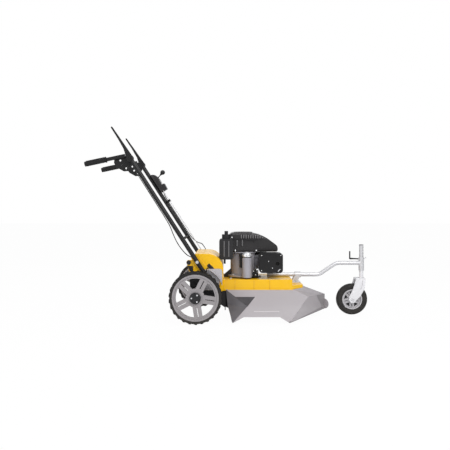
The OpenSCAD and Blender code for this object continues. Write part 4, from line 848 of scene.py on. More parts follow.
@dataclass
class RearWheels(Assembly):
    """The two driven wheels: barred tyres, moulded rims and hub caps."""

    soft: Softened = tuple((f"rim_{side.word}", Surface.RIM_PLASTIC, 1.4, 2) for side in Side)
    tyre_steps: int = 96
    cap_steps: int = 48
    screw_steps: int = 18
    bead_r: float = 145.2
    bead_in: float = 2.0
    base_drop: float = 5.0
    shoulder: float = 5.0
    shoulder_turns: Row = (0.0, 0.4, 0.8, 1.2, math.pi / 2.0)
    bar_count: int = 26
    row_shift: float = 0.5
    bar_width: float = 13.0
    bar_slant: float = math.radians(24.0)
    bar_sink: float = 2.0
    bar_short: float = 3.0
    bar_apart: float = 1.0
    bar_low: float = 0.6
    bar_round: float = 1.0
    cap_profile: Pairs = ((0.0, 0.0), (35.0, 0.0), (35.0, 0.35), (33.0, 0.6), (26.0, 0.8), (24.0, 0.62), (0.0, 0.62))
    screw_profile: Pairs = ((0.0, 0.3), (5.0, 0.3), (5.0, 0.86), (3.5, 1.0), (0.0, 1.0))
    screw_ring: float = 23.0
    screw_turns: Row = (58.0, 178.0, 298.0)

    def trim(self) -> None:
        """Dress both wheels."""
        for side in Side:
            self._tyre(side)
            self._hub_cap(side)

    def _hub_cap(self, side: Side) -> None:
        """Lathe a black hub cap and set three bright screws in it.

        Args:
            side: the machine's side.
        """
        node = f"hub_cap_{side.word}"
        box = Box.of(node)
        inner = Vector((box.centre.x, box.low.y if side is Side.LEFT else box.high.y, box.centre.z))
        depth = side.value * box.size.y / MM
        profile = [(radius, share * depth) for radius, share in self.cap_profile]
        cap = self.shop.spun(profile, inner, Axis.Y, self.cap_steps)
        self.shop.hang(f"{node}_round", Surface.BLACK_PLASTIC, cap, replaces=(node,))
        head = [(radius, share * depth) for radius, share in self.screw_profile]
        heads = []
        for turn in map(math.radians, self.screw_turns):
            place = inner + Vector((math.cos(turn), 0.0, math.sin(turn))) * (self.screw_ring * MM)
            heads.append(self.shop.spun(head, place, Axis.Y, self.screw_steps))
        self.shop.hang(f"hub_screws_{side.word}", Surface.BRIGHT_ZINC, *heads, on=node)

    def _tyre(self, side: Side) -> None:
        """Lathe a tyre and set its tread bars.

        Args:
            side: the machine's side.
        """
        node = f"tyre_{side.word}"
        box = Box.of(node)
        half, outer = box.size.y / 2.0 / MM, box.size.z / 2.0 / MM
        profile = [(self.bead_r, self.bead_in - half)]
        for turn in self.shoulder_turns:
            radius = outer - self.base_drop - self.shoulder * (1.0 - math.sin(turn))
            profile.append((radius, self.shoulder * (1.0 - math.cos(turn)) - half))
        shapes = [self.shop.spun(self.shop.mirrored(profile), box.centre, Axis.Y, self.tyre_steps)]
        for index in range(self.bar_count):
            for row in Side:
                share = (index + (self.row_shift if row is Side.LEFT else 0.0)) / self.bar_count
                turn = Matrix.Rotation(math.tau * share, 4, "Y")
                shapes.append(self.shop.moved(self._bar(half, outer, row), box.centre, turn))
        self.shop.hang(f"{node}_barred", Surface.TYRE, *shapes, replaces=(node,))

    def _bar(self, half: float, outer: float, row: Side) -> Mesh:
        """Make one tread bar, on top of a wheel at the frame's origin.

        Args:
            half: half the tyre's width.
            outer: the tyre's full radius.
            row: the half of the tread that it is on.

        Returns:
            The bar's mesh.
        """
        reach = (half - self.bar_short) / 2.0
        low = Vector((-self.bar_width / 2.0, -reach, outer - self.base_drop - self.bar_sink)) * MM
        high = Vector((self.bar_width / 2.0, reach, outer - self.bar_low)) * MM
        slant = Matrix.Rotation(self.bar_slant * row.value, 4, "Z")
        shift = Vector((0.0, row.value * (reach + self.bar_apart) * MM, 0.0))
        return self.shop.moved(self.shop.block(low, high, self.bar_round), shift, slant)


@dataclass
class Castor(Assembly):
    """The front castor: its wheel, fork, post and locking pin."""

    soft: Softened = (
        ("castor_rim", Surface.CASTOR_PLASTIC, 1.2, 2),
        ("castor_fork", Surface.FORK_ZINC, 1.0, 2),
        ("height_post", Surface.ZINC, 0.8, 2),
    )
    painted: Painted = ((Surface.ZINC, ("castor_axle",)), (Surface.BLACK_PLASTIC, ("height_pin",)))
    wheel_steps: int = 72
    collar_steps: int = 28
    cap_steps: int = 32
    plug_steps: int = 20
    bead_share: float = 0.66
    bead_in: float = 5.0
    tyre_curve: Pairs = ((0.3, 0.0), (0.55, 0.25), (0.78, 0.6), (0.93, 1.0), (1.0, math.pi / 2.0 - 0.2))
    web_shares: Span = (0.2, 0.9)
    web_half: float = 2.0
    pin_turn: float = math.radians(-40.0)
    pin_r: float = 3.5
    collar_profile: Pairs = ((2.0, 0.0), (5.6, 1.0), (6.2, 4.0), (5.4, 16.0), (4.2, 30.0), (2.0, 32.0))
    cap_profile: Pairs = ((9.0, -3.5), (14.4, -3.5), (14.4, -0.4), (13.6, 0.5), (9.0, 0.5))
    plug_heights: Row = (396.0, 416.0, 436.0, 456.0)
    plug_r: float = 4.4
    plug_depth: float = 3.0
    plug_reach: float = 11.6
    plug_round: float = 0.5
    fold_line: Pairs = ((1110.251, 236.1), (1107.551, 202.4), (1095.651, 172.8))
    fold_half: float = 1.5
    fold_sink: float = 0.6
    fold_rise: float = 0.9
    fold_round: float = 0.4

    def trim(self) -> None:
        """Add the tyre and the small parts of the fork and the post."""
        self._tyre()
        self._collar()
        self._cap()
        self._folds()
        self._plugs()

    def _tyre(self) -> None:
        """Lathe the round tyre and a dark disc behind the rim's windows, as painted shade in them."""
        box = Box.of("castor_tyre")
        half, outer = box.size.y / 2.0 / MM, box.size.z / 2.0 / MM
        bead = outer * self.bead_share
        profile = [(bead, self.bead_in - half)]
        profile += [(bead + (outer - bead) * share, -half * math.cos(turn)) for share, turn in self.tyre_curve]
        tyre = self.shop.spun(self.shop.mirrored(profile), box.centre, Axis.Y, self.wheel_steps)
        self.shop.hang("castor_tyre_round", Surface.TYRE, tyre, replaces=("castor_tyre",))
        # The black disc behind the rim's windows is painted shade.
        profile = [(bead * share, -self.web_half) for share in self.web_shares]
        shade_disc = self.shop.spun(self.shop.mirrored(profile), box.centre, Axis.Y, self.wheel_steps)
        self.shop.hang("castor_web", Surface.BLACK_PLASTIC, shade_disc, on="castor_tyre")

    def _collar(self) -> None:
        """Slip a tapered collar over the bend of the locking pin."""
        pin = Box.of("height_pin")
        corner = Vector((pin.low.x, pin.high.y, pin.low.z)) + Vector((1.0, -1.0, 1.0)) * (self.pin_r * MM)
        collar = self.shop.spun(self.collar_profile, Vector(), Axis.X, self.collar_steps)
        self.shop.moved(collar, corner, Matrix.Rotation(self.pin_turn, 4, "Z"))
        self.shop.hang("pin_collar", Surface.BLACK_PLASTIC, collar, on="height_pin")

    def _cap(self) -> None:
        """Cap the post's rim in dark plastic, as painted shade at the tube's open end."""
        post = Box.of("height_post")
        top = Vector((*post.centre.xy, post.high.z))
        cap = self.shop.spun(self.cap_profile, top, Axis.Z, self.cap_steps)
        # The dark cap is painted shade at the tube's open end.
        self.shop.hang("post_cap", Surface.GUSSET_PLASTIC, cap, on="height_post", slot="zinc")

    def _folds(self) -> None:
        """Press a fold along the front of each of the fork's cheeks, in darker zinc as painted shade along it."""
        face = Box.of("castor_fork").high.y / MM
        outline = [(x - self.fold_half, z) for x, z in self.fold_line]
        outline += [(x + self.fold_half, z) for x, z in reversed(self.fold_line)]
        folds = self.shop.twin_slabs(outline, face - self.fold_sink, face + self.fold_rise, self.fold_round)
        # The darker zinc of the folds is painted shade.
        self.shop.hang("fork_folds", Surface.GUARD_ZINC, *folds, on="castor_fork")

    def _plugs(self) -> None:
        """Set dark discs in the post's unused holes on the side away from the pin, as painted shade inside them."""
        centre = Box.of("height_post").centre
        turn = Matrix.Rotation(self.pin_turn, 4, "Z") @ Matrix.Rotation(math.pi / 2.0, 4, "Y")
        reach = Matrix.Translation((0.0, 0.0, self.plug_reach * MM))
        size = {"radius1": self.plug_r * MM, "radius2": self.plug_r * MM, "depth": self.plug_depth * MM}
        hole_discs = []
        # Each dark disc is painted shade inside a hole.
        for z in self.plug_heights:
            hole_disc = bmesh.new()
            place = Matrix.Translation((*centre.xy, z * MM)) @ turn @ reach
            bmesh.ops.create_cone(hole_disc, cap_ends=True, segments=self.plug_steps, matrix=place, **size)
            self.shop.rounded(hole_disc, self.plug_round, segments=2)
            hole_discs.append(hole_disc)
        self.shop.hang("post_plugs", Surface.BLACK_PLASTIC, *hole_discs, on="height_post")


@dataclass
class FrontArm(Assembly):
    """The tube that carries the castor, and the saddle that holds it."""

    soft: Softened = (("front_arm", Surface.ZINC, 0.8, 2), ("arm_saddle", Surface.ZINC, 1.0, 2))
    lug_foot: Spot = (1127.451, 0.0, 376.0)
    lug_turn: float = math.radians(52.0)
    lug_steps: int = 24
    lug_profile: Pairs = ((0.6, 0.0), (3.2, 0.4), (3.2, 14.0), (4.4, 15.0), (4.4, 18.0), (3.4, 19.0), (0.6, 19.0))

    def trim(self) -> None:
        """Set a lug on the sleeve of the post."""
        lug = self.shop.spun(self.lug_profile, Vector(), Axis.Z, self.lug_steps)
        self.shop.moved(lug, at(*self.lug_foot), Matrix.Rotation(self.lug_turn, 4, "Y"))
        self.shop.hang("sleeve_lug", Surface.ZINC, lug, on="front_arm")


@dataclass
class Housing(Assembly):
    """The painted deck, side plates and cowl, and the parts bolted to them."""

    soft: Softened = (
        ("deck", Surface.YELLOW_PAINT, 2.4, 3),
        ("side_plates", Surface.YELLOW_PAINT, 1.2, 2),
        ("belt_cowl", Surface.YELLOW_PAINT, 2.4, 3),
        ("wheel_guards", Surface.GUARD_ZINC, 1.0, 2),
    )
    painted: Painted = ((Surface.ZINC, ("deck_bolts",)), (Surface.BLACK_PLASTIC, ("cowl_knob",)))
    seam_stations: Row = (248.0, 371.0, 472.0)
    seam_half: float = 0.9
    seam_y: Span = (158.8, 161.2)
    seam_z: Span = (191.0, 254.0)
    seam_round: float = 0.5
    strip: tuple[Span, Span, Span, float] = ((200.0, 622.0), (164.5, 166.3), (183.0, 196.0), 0.7)
    screen_x: Span = (54.0, 116.0)
    screen_in: Span = (5.0, 6.6)
    screen_z: Span = (318.0, 370.0)
    screen_round: float = 0.5
    swage_heights: Row = (284.0, 310.0)
    swage_low: Spot = (-1.6, 60.0, -7.0)
    swage_high: Spot = (4.0, -60.0, 7.0)
    swage_round: float = 1.9
    pad_corners: Pairs = ((-56.0, 352.0), (-20.0, 352.0), (-20.0, 318.0), (-42.0, 318.0))
    pad_out: Span = (-1.6, 0.4)
    pad_round: float = 0.7
    axle_z: float = 165.0
    apron_r: float = 175.4
    apron_turns: Row = (32.0, 39.0, 46.0, 53.0, 60.0, 66.0, 71.0)
    apron_corners: Pairs = ((47.4, 306.0), (47.4, 197.0), (146.0, 197.0))
    cover_corners: Pairs = (
        (-41.0, 204.0), (-41.0, 300.0), (47.0, 300.0), (47.0, 196.6), (146.0, 196.6), (146.0, 166.0), (128.0, 157.0),
        (50.0, 157.0), (34.0, 186.0),
    )
    mask_corners: Pairs = ((66.0, 351.0), (81.0, 369.0), (112.0, 339.0), (112.0, 331.0), (86.0, 331.6))
    latch_corners: Pairs = ((56.0, 313.0), (66.0, 337.0), (71.0, 343.0), (81.6, 333.8), (68.4, 333.8), (68.4, 313.0))
    liner_sink: float = 0.3
    liner_wall: float = 0.9
    liner_round: float = 0.3

    def trim(self) -> None:
        """Add the sheet metal's seams, darker as painted shade in the creases, and its strips, screens, swages, pad
        and liners.
        """
        shop, cowl = self.shop, Box.of("belt_cowl").high.y / MM
        seams = []
        for x in self.seam_stations:
            seams += shop.twin_blocks(about(x, self.seam_half), self.seam_y, self.seam_z, self.seam_round)
        # The seams are darker paint as painted shade in the creases.
        shop.hang("deck_seams", Surface.SEAM_PAINT, *seams)
        shop.hang("skirt_strips", Surface.YELLOW_PAINT, *shop.twin_blocks(*self.strip))
        screen_y = tuple(cowl - depth for depth in self.screen_in)
        screens = shop.twin_blocks(self.screen_x, screen_y, self.screen_z, self.screen_round)
        shop.hang("cowl_screens", Surface.HEAT_BLACK, *screens)
        outer = Box.of("side_plates").low.y / MM
        pad = shop.slab(self.pad_corners, *(outer + out for out in self.pad_out), self.pad_round)
        shop.hang("knob_pad", Surface.BLACK_PLASTIC, pad)
        self._swages()
        self._liners(cowl)

    def _swages(self) -> None:
        """Press two swages into the cowl's back."""
        box = Box.of("belt_cowl")
        half = box.size.y / 2.0
        swages = []
        for z in self.swage_heights:
            low = Vector((box.low.x, -half, z * MM)) + Vector(self.swage_low) * MM
            high = Vector((box.low.x, half, z * MM)) + Vector(self.swage_high) * MM
            swages.append(self.shop.block(low, high, self.swage_round))
        self.shop.hang("cowl_swages", Surface.YELLOW_PAINT, *swages)

    def _liners(self, cowl: float) -> None:
        """Line both sides behind the rear wheels, in black that is partly painted shade, and in the cowl's windows, in
        black that is painted shade.

        Args:
            cowl: how far out the cowl's sides lie.
        """
        plate = Box.of("side_plates").high.y / MM
        turns = [math.radians(turn) for turn in self.apron_turns]
        arc = [(self.apron_r * math.cos(turn), self.axle_z + self.apron_r * math.sin(turn)) for turn in turns]
        # Painted shade: the black behind the wheels stands both for dark drive parts and for shade seen through the
        # wheels, and the black in the windows is shade inside the cowl.
        for name, surface, *outlines in (
            ("guard_aprons", Surface.GUARD_ZINC, (plate, (*arc, *self.apron_corners))),
            ("drive_covers", Surface.BLACK_PLASTIC, (plate, self.cover_corners)),
            ("window_masks", Surface.BLACK_PLASTIC, (cowl, self.mask_corners), (plate, self.latch_corners)),
        ):
            liners = []
            for face, corners in outlines:
                near, far = face - self.liner_sink, face + self.liner_wall
                liners += self.shop.twin_slabs(corners, near, far, self.liner_round)
            self.shop.hang(name, surface, *liners)


@dataclass
class GrassSkirt(Assembly):
    """The translucent skirt round the cutter and the flap behind it."""

    soft: Softened = (("skirt", Surface.SKIRT_PLASTIC, 2.0, 3), ("rear_flap", Surface.RUBBER, 0.8, 2))
    panel_top: Span = (164.3, 194.0)
    panel_fall: float = math.radians(40.75)
    bead_x: Span = (364.0, 524.0)
    bead_z: float = 72.0
    bead_half: float = 2.4
    bead_proud: float = 1.3
    bead_round: float = 0.9
    fold_foot: Span = (231.0, 11.0)
    fold_head: Span = (420.0, 194.0)
    fold_margin: float = 4.0
    least_area: float = 100.0
    lip_corner: Spot = (581.0, -322.0, 0.0)
    lip_nose: Spot = (861.0, 0.0, 0.0)
    lip_facing: float = 0.985
    lip_upright: float = 0.02
    patch_corners: Pairs = ((244.0, 152.0), (376.0, 152.0), (325.0, 98.5))
    seal_corners: Pairs = ((186.0, 80.0), (186.0, 184.0), (232.0, 184.0), (232.0, 64.0))
    seal_y: Span = (152.0, 155.0)
    seal_round: float = 0.8
    skin: float = 0.6

    def trim(self) -> None:
        """Emboss the skirt's sides with paler beads as a painted highlight, and add darker rear facets and lips as
        painted shade, and its seals.
        """
        # The rear facets and their patches are darker plastic as painted shade.
        patches = [self._patch(side) for side in Side]
        self.shop.hang("skirt_gussets", Surface.GUSSET_PLASTIC, self._skin(self._behind_fold), *patches)
        # The front lips' outward faces are darker plastic as painted shade.
        self.shop.hang("skirt_lips", Surface.LIP_PLASTIC, self._skin(self._on_lip))
        seals = self.shop.twin_slabs(self.seal_corners, *self.seal_y, self.seal_round)
        self.shop.hang("flap_seals", Surface.RUBBER, *seals)
        # The beads are paler plastic as a painted highlight line.
        ys, zs = about(self._panel_at(self.bead_z), self.bead_proud), about(self.bead_z, self.bead_half)
        beads = self.shop.twin_blocks(self.bead_x, ys, zs, self.bead_round, self.panel_fall)
        for side, bead in zip(Side, beads):
            self.shop.hang(f"skirt_bead_{side.word}", Surface.BEAD_PLASTIC, bead)

    def _panel_at(self, z: float) -> float:
        """Give how far out the sloping sides lie at a height, both in millimetres."""
        top_y, top_z = self.panel_top
        return top_y + (top_z - z) * math.tan(self.panel_fall)

    def _behind_fold(self, face: Face) -> bool:
        """Tell whether a face is outside and behind the fold, where darker plastic is painted shade.

        Args:
            face: a face of the skirt.

        Returns:
            Whether a darker facet, painted shade, covers it.
        """
        (foot_x, foot_z), (head_x, head_z) = self.fold_foot, self.fold_head
        place = face.calc_center_median()
        fold = foot_x + (place.z / MM - foot_z) * (head_x - foot_x) / (head_z - foot_z)
        behind = (place.x - AXLE_X) / MM < fold - self.fold_margin
        return behind and face.normal.y * place.y > 0.0 and face.calc_area() > self.least_area * MM * MM

    def _on_lip(self, face: Face) -> bool:
        """Tell whether a face is on the outside of a front lip.

        Args:
            face: a face of the skirt.

        Returns:
            Whether the darker plastic, painted shade, covers it.
        """
        run = (at(*self.lip_nose) - at(*self.lip_corner)).normalized()
        side = math.copysign(1.0, face.calc_center_median().y)
        out = Vector((run.y, run.x * side, 0.0))
        return face.normal.dot(out) > self.lip_facing and abs(face.normal.z) < self.lip_upright

    def _patch(self, side: Side) -> Mesh:
        """Carry a darker facet, painted shade, on to the sloping side, up to the fold.

        Args:
            side: the machine's side.

        Returns:
            The patch's mesh.
        """
        shape = bmesh.new()
        out = Vector((0.0, side.value * math.cos(self.panel_fall), math.sin(self.panel_fall))) * (self.skin * MM)
        places = [at(x, side.value * self._panel_at(z), z) + out for x, z in self.patch_corners]
        shape.faces.new([shape.verts.new(place) for place in places])
        return self._thickened(shape)

    def _skin(self, wanted: Callable[[Face], bool]) -> Mesh:
        """Lift a thin skin off chosen faces of the skirt.

        Args:
            wanted: tells which faces to keep.

        Returns:
            The skin's mesh, closed.
        """
        shape = self.shop.copied("skirt")
        shape.normal_update()
        spare = [face for face in shape.faces if not wanted(face)]
        bmesh.ops.delete(shape, geom=spare, context="FACES")
        shape.normal_update()
        lifts = [vert.normal * (self.skin * MM) for vert in shape.verts]
        for vert, lift in zip(shape.verts, lifts):
            vert.co += lift
        return self._thickened(shape)

    def _thickened(self, shape: Mesh) -> Mesh:
        """Give a sheet half the skin's thickness.

        Args:
            shape: the sheet.

        Returns:
            The same mesh, closed.
        """
        bmesh.ops.solidify(shape, geom=shape.faces[:], thickness=self.skin * MM / 2.0)
        bmesh.ops.recalc_face_normals(shape, faces=shape.faces)
        return shape


@dataclass
class Engine(Assembly):
    """The engine: its block, hood, tank, silencer and the parts on them."""

    soft: Softened = (
        ("engine_block", Surface.CASTING, 2.0, 2),
        ("cylinder_head", Surface.CASTING, 1.0, 2),
        ("fuel_tank", Surface.BLACK_PLASTIC, 9.0, 4),
        ("fuel_cap", Surface.BLACK_PLASTIC, 1.0, 2),
        ("oil_filler", Surface.BLACK_PLASTIC, 1.0, 2),
        ("muffler_guard", Surface.BLACK_PAINT, 1.6, 2),
        ("air_filter", Surface.ENGINE_PLASTIC, 4.0, 3),
    )
    painted: Painted = ((Surface.STEEL, ("flywheel", "crankshaft")), (Surface.HEAT_BLACK, ("muffler",)))
    crank_x: float = 305.0
    hood_low: float = 430.3
    hood_high: float = 558.0
    hood_half: float = 93.0
    hood_back: float = 209.0
    hood_nose: float = 537.0
    hood_brow: float = 416.0
    hood_chin: float = 468.0
    brow_round: float = 74.0
    chin_round: float = 16.0
    back_round: float = 30.0
    nose_facets: int = 9
    hood_round: float = 13.0
    hood_facets: int = 5
    lean_from: float = 500.0
    lean: float = 0.0011
    narrow_from: float = 380.0
    narrow: float = 0.3
    seam_from: float = 235.0
    seam_z: float = 514.0
    seam_half: Span = (1.2, 1.6)
    seam_round: float = 0.8
    trim_out: float = 0.4
    louvre_first: float = 292.0
    louvre_count: int = 12
    louvre_step: float = 15.5
    louvre_foot: float = 520.0
    louvre_head: float = 547.0
    louvre_drop: float = 14.0
    louvre_least: float = 6.0
    louvre_out: float = 0.6
    louvre_half: Span = (4.2, 3.8)
    louvre_round: float = 1.6
    rib_stations: Row = (263.0, 298.0)
    rib_z: Span = (470.0, 511.0)
    rib_half: Span = (4.2, 2.4)
    rib_round: float = 1.9
    ledge_x: Span = (226.0, 392.0)
    ledge_z: float = 516.0
    ledge_half: float = 2.2
    ledge_round: float = 1.6
    grille_radii: Row = (14.0, 26.0, 38.0, 50.0, 62.0)
    grille_ring: Pairs = ((-2.4, -2.0), (-1.7, 2.7), (1.7, 2.7), (2.4, -2.0))
    grille_steps: int = 64
    spoke_count: int = 8
    spoke_round: float = 0.6
    spoke: Corners = ((14.0, -1.4, -2.0), (62.0, 1.4, 2.2))
    tank_ribs: Row = (178.0, 208.0)
    tank_rib_half: float = 3.4
    tank_rib_round: float = 1.2
    tank_rib_y: Span = (-1.3, 3.0)
    tank_rib_z: Span = (404.0, 506.0)
    tank_foot: Corners = ((174.6, -140.0, 358.0), (188.0, -100.0, 386.6))
    tank_foot_round: float = 1.5
    strut_corners: Pairs = (
        (176.0, 258.2), (176.0, 276.0), (222.0, 316.0), (246.0, 322.0), (246.0, 268.0), (196.0, 258.2),
    )
    strut_y: Span = (-34.0, -28.0)
    strut_round: float = 1.2
    gasket_steps: int = 72
    gasket: Pairs = ((112.3, 258.2), (114.0, 258.2), (114.0, 265.2), (113.4, 265.8), (112.3, 265.8))
    starter_place: Span = (327.0, -124.0)
    starter_steps: int = 48
    can_foot: Pairs = ((0.0, 0.0), (29.0, 0.0), (31.0, 2.0))
    can_top: Pairs = ((31.0, -46.0), (29.4, -44.0), (29.4, -34.0), (0.0, -34.0))
    band: Pairs = ((28.0, -38.0), (30.6, -38.0), (30.6, -33.5), (28.0, -33.5))
    dome_foot: Pairs = ((0.0, -33.0), (30.4, -33.0), (31.0, -31.0), (31.0, -22.0))
    dome_turns: Row = (0.3, 0.6, 0.9, 1.2, 1.4)
    dome_rise: float = 21.5
    dome_top: float = -0.5
    lug_half: float = 10.0
    lug_z: Span = (60.0, 100.0)
    lug_end: float = -82.0
    lug_round: float = 2.0
    screw_profile: Pairs = (
        (0.0, -2.0), (1.0, -2.0), (1.0, 1.2), (0.8, 2.2), (0.35, 2.8), (0.3, 1.6), (0.0, 1.6),
    )
    screw_steps: int = 20
    hood_screw_r: float = 5.4
    hood_screws: Pairs = ((251.0, 440.0), (391.0, 441.0), (228.0, 527.0))
    guard_screw_r: float = 3.2
    guard_screws: Pairs = ((466.0, 376.0), (491.0, 333.0), (420.0, 316.0), (545.0, 414.0), (420.0, 414.0))
    governor_face: float = -98.0
    governor_screw_r: float = 3.6
    governor_screws: Pairs = ((372.0, 306.0), (397.0, 300.0), (385.0, 280.0))
    governor_plate: Corners = ((366.0, -98.0, 272.0), (404.0, -95.0, 312.0))
    governor_foot: Corners = ((362.0, -108.0, 267.0), (408.0, -84.0, 272.0))
    governor_arm: Corners = ((380.0, -101.0, 296.0), (388.0, -98.0, 330.0))
    governor_tilt: float = 0.5
    governor_round: float = 1.0
    guard_face: float = -164.2
    port_place: Span = (524.0, 360.4)
    port_steps: int = 40
    port_ring: Pairs = ((12.4, 1.0), (12.4, -1.4), (13.6, -2.2), (15.4, -1.8), (16.0, 0.4))
    clip: Corners = ((523.0, -166.6, 316.0), (545.0, -163.6, 321.0))
    clip_tilt: float = -0.8
    clip_round: float = 0.9
    filter_shares: Row = (0.2, 0.35, 0.5, 0.65, 0.8)
    filter_rib: Corners = ((10.0, -2.0, -1.5), (-10.0, 1.6, 1.5))
    filter_round: float = 0.8
    knob_steps: int = 24
    filter_knob: Pairs = ((0.0, -2.0), (11.0, -2.0), (11.0, 6.0), (9.0, 8.0), (0.0, 8.0))

    def trim(self) -> None:
        """Add the hood, the starter and the small parts round them."""
        self._hood()
        self._louvres()
        self._ribs()
        self._grille()
        self._starter()
        self._screws()
        self._silencer()
        self._filter()
        self._seat()
        self._governor()

    def _half_at(self, x: float, z: float) -> float:
        """Give the hood's half width at a place on its side, all in millimetres."""
        share = min(max((x - self.narrow_from) / (self.hood_nose - self.narrow_from), 0.0), 1.0)
        return self.hood_half * (1.0 - self.narrow * share * share - self.lean * max(z - self.lean_from, 0.0))

    def _top_at(self, x: float) -> float:
        """Give the hood's height above the ground at a station, in millimetres."""
        fall = (self.hood_high - self.hood_chin) / (self.hood_nose - self.hood_brow)
        return self.hood_high - max(x - self.hood_brow, 0.0) * fall

    def _hood(self) -> None:
        """Make the smooth hood over the blower and the starter, and its seam."""
        back, brow = (self.hood_back, self.hood_high), (self.hood_brow, self.hood_high)
        chin, feet = (self.hood_nose, self.hood_chin), [(x, self.hood_low) for x in (self.hood_nose, self.hood_back)]
        shape = self.shop.slab((back, brow, chin, *feet), -self.hood_half, self.hood_half)
        for (x, z), radius in ((brow, self.brow_round), (chin, self.chin_round), (back, self.back_round)):
            place = at(x, 0.0, z).xz
            edges = [edge for edge in shape.edges if all((vert.co.xz - place).length < MM for vert in edge.verts)]
            self.shop.bevelled(shape, edges, radius, self.nose_facets)
        for vert in shape.verts:
            half = self._half_at((vert.co.x - AXLE_X) / MM, vert.co.z / MM) * MM
            vert.co.y = math.copysign(half, vert.co.y)
        self.shop.rounded(shape, self.hood_round, self.hood_facets)
        self.shop.hang("engine_hood", Surface.ENGINE_PLASTIC, shape, replaces=("blower_shroud", "starter_cover"))
        deep, high = self.seam_half
        ys = about(self._half_at(self.hood_back, self.seam_z) + self.trim_out, deep)
        xs, zs = (self.seam_from, self.narrow_from), about(self.seam_z, high)
        seam = self.shop.twin_blocks(xs, ys, zs, self.seam_round)
        self.shop.hang("hood_seam", Surface.BLACK_PLASTIC, *seam)

    def _louvres(self) -> None:
        """Set upright louvres high on both sides of the hood, in paler plastic as painted highlights."""
        long, deep = self.louvre_half
        tilt = math.atan(self.lean * self.hood_half)
        pairs = []
        for index in range(self.louvre_count):
            x = self.louvre_first + index * self.louvre_step
            head = min(self._top_at(x) - self.louvre_drop, self.louvre_head)
            if head >= self.louvre_foot + self.louvre_least:
                ys = about(self._half_at(x, (head + self.louvre_foot) / 2.0) + self.louvre_out, deep)
                zs = (self.louvre_foot, head)
                pairs.append(self.shop.twin_blocks(about(x, long), ys, zs, self.louvre_round, tilt))
        for side, shapes in zip(Side, zip(*pairs)):
            # The louvres are paler plastic as painted highlights.
            self.shop.hang(f"hood_louvres_{side.word}", Surface.TRIM_PLASTIC, *shapes)

    def _ribs(self) -> None:
        """Mould upright ribs and a ledge into the hood's sides, and ribs into the tank; the ribs are paler plastic as
        painted highlights.
        """
        long, deep = self.rib_half
        ribs = []
        for x in self.rib_stations:
            ys = about(self._half_at(x, sum(self.rib_z) / 2.0) + self.trim_out, deep)
            ribs += self.shop.twin_blocks(about(x, long), ys, self.rib_z, self.rib_round)
        low, high = (Box.of("fuel_tank").low.y / MM + out for out in self.tank_rib_y)
        foot, head = self.tank_rib_z
        for back, front in (about(x, self.tank_rib_half) for x in self.tank_ribs):
            ribs.append(self.shop.block(at(back, low, foot), at(front, high, head), self.tank_rib_round))
        # The ribs are paler plastic as painted highlights.
        self.shop.hang("hood_ribs", Surface.TRIM_PLASTIC, *ribs)
        ys = about(self._half_at(self.ledge_x[1], self.ledge_z), self.ledge_half)
        zs = about(self.ledge_z, self.ledge_half)
        ledges = self.shop.twin_blocks(self.ledge_x, ys, zs, self.ledge_round)
        self.shop.hang("hood_ledges", Surface.BLACK_PLASTIC, *ledges)

    def _grille(self) -> None:
        """Lay the round cooling grille on top of the hood."""
        centre = at(self.crank_x, 0.0, self.hood_high)
        shapes = []
        for radius in self.grille_radii:
            ring = [(radius + out, height) for out, height in self.grille_ring]
            shapes.append(self.shop.spun(ring, centre, Axis.Z, self.grille_steps))
        for index in range(self.spoke_count):
            spoke = self.shop.block(*(Vector(corner) * MM for corner in self.spoke), self.spoke_round)
            turn = Matrix.Rotation(index * math.tau / self.spoke_count, 4, "Z")
            shapes.append(self.shop.moved(spoke, centre, turn))
        self.shop.hang("hood_grille", Surface.BLACK_PLASTIC, *shapes)

    def _starter(self) -> None:
        """Lathe the starter motor with its bright dome and dark band."""
        box = Box.of("starter_motor")
        foot, top = box.low.z / MM, box.high.z / MM
        x, y = self.starter_place
        barrel = [*((radius, height + foot - top) for radius, height in self.can_foot), *self.can_top]
        radius, shoulder = self.dome_foot[-1]
        arc = [(radius * math.cos(turn), shoulder + self.dome_rise * math.sin(turn)) for turn in self.dome_turns]
        low, high = (foot + height for height in self.lug_z)
        lug = self.shop.block(at(x - self.lug_half, y, low), at(x + self.lug_half, self.lug_end, high), self.lug_round)
        can, dome, band = (
            self.shop.spun(profile, at(x, y, top), Axis.Z, self.starter_steps)
            for profile in (barrel, (*self.dome_foot, *arc, (0.0, self.dome_top)), self.band)
        )
        self.shop.hang("starter_body", Surface.CASTING, can, lug, replaces=("starter_motor",), slot="zinc")
        self.shop.hang("starter_dome", Surface.BRIGHT_ZINC, dome)
        self.shop.hang("starter_band", Surface.BLACK_PLASTIC, band)

    def _screws(self) -> None:
        """Set bright screws in the hood's sides, the silencer's guard and the governor's plate."""
        heads = [
            self._screw(at(x, side.value * self._half_at(x, z), z), side, self.hood_screw_r)
            for side in Side
            for x, z in self.hood_screws
        ]
        self.shop.hang("hood_screws", Surface.BRIGHT_ZINC, *heads)
        for name, places, face, radius in (
            ("silencer_screws", self.guard_screws, self.guard_face, self.guard_screw_r),
            ("governor_screws", self.governor_screws, self.governor_face, self.governor_screw_r),
        ):
            heads = [self._screw(at(x, face, z), Side.RIGHT, radius) for x, z in places]
            self.shop.hang(name, Surface.BRIGHT_ZINC, *heads)

    def _screw(self, place: Vector, side: Side, radius: float) -> Mesh:
        """Lathe one domed screw head that faces sideways, of a radius in millimetres."""
        profile = [(radius * share, height * side.value) for share, height in self.screw_profile]
        return self.shop.spun(profile, place, Axis.Y, self.screw_steps)

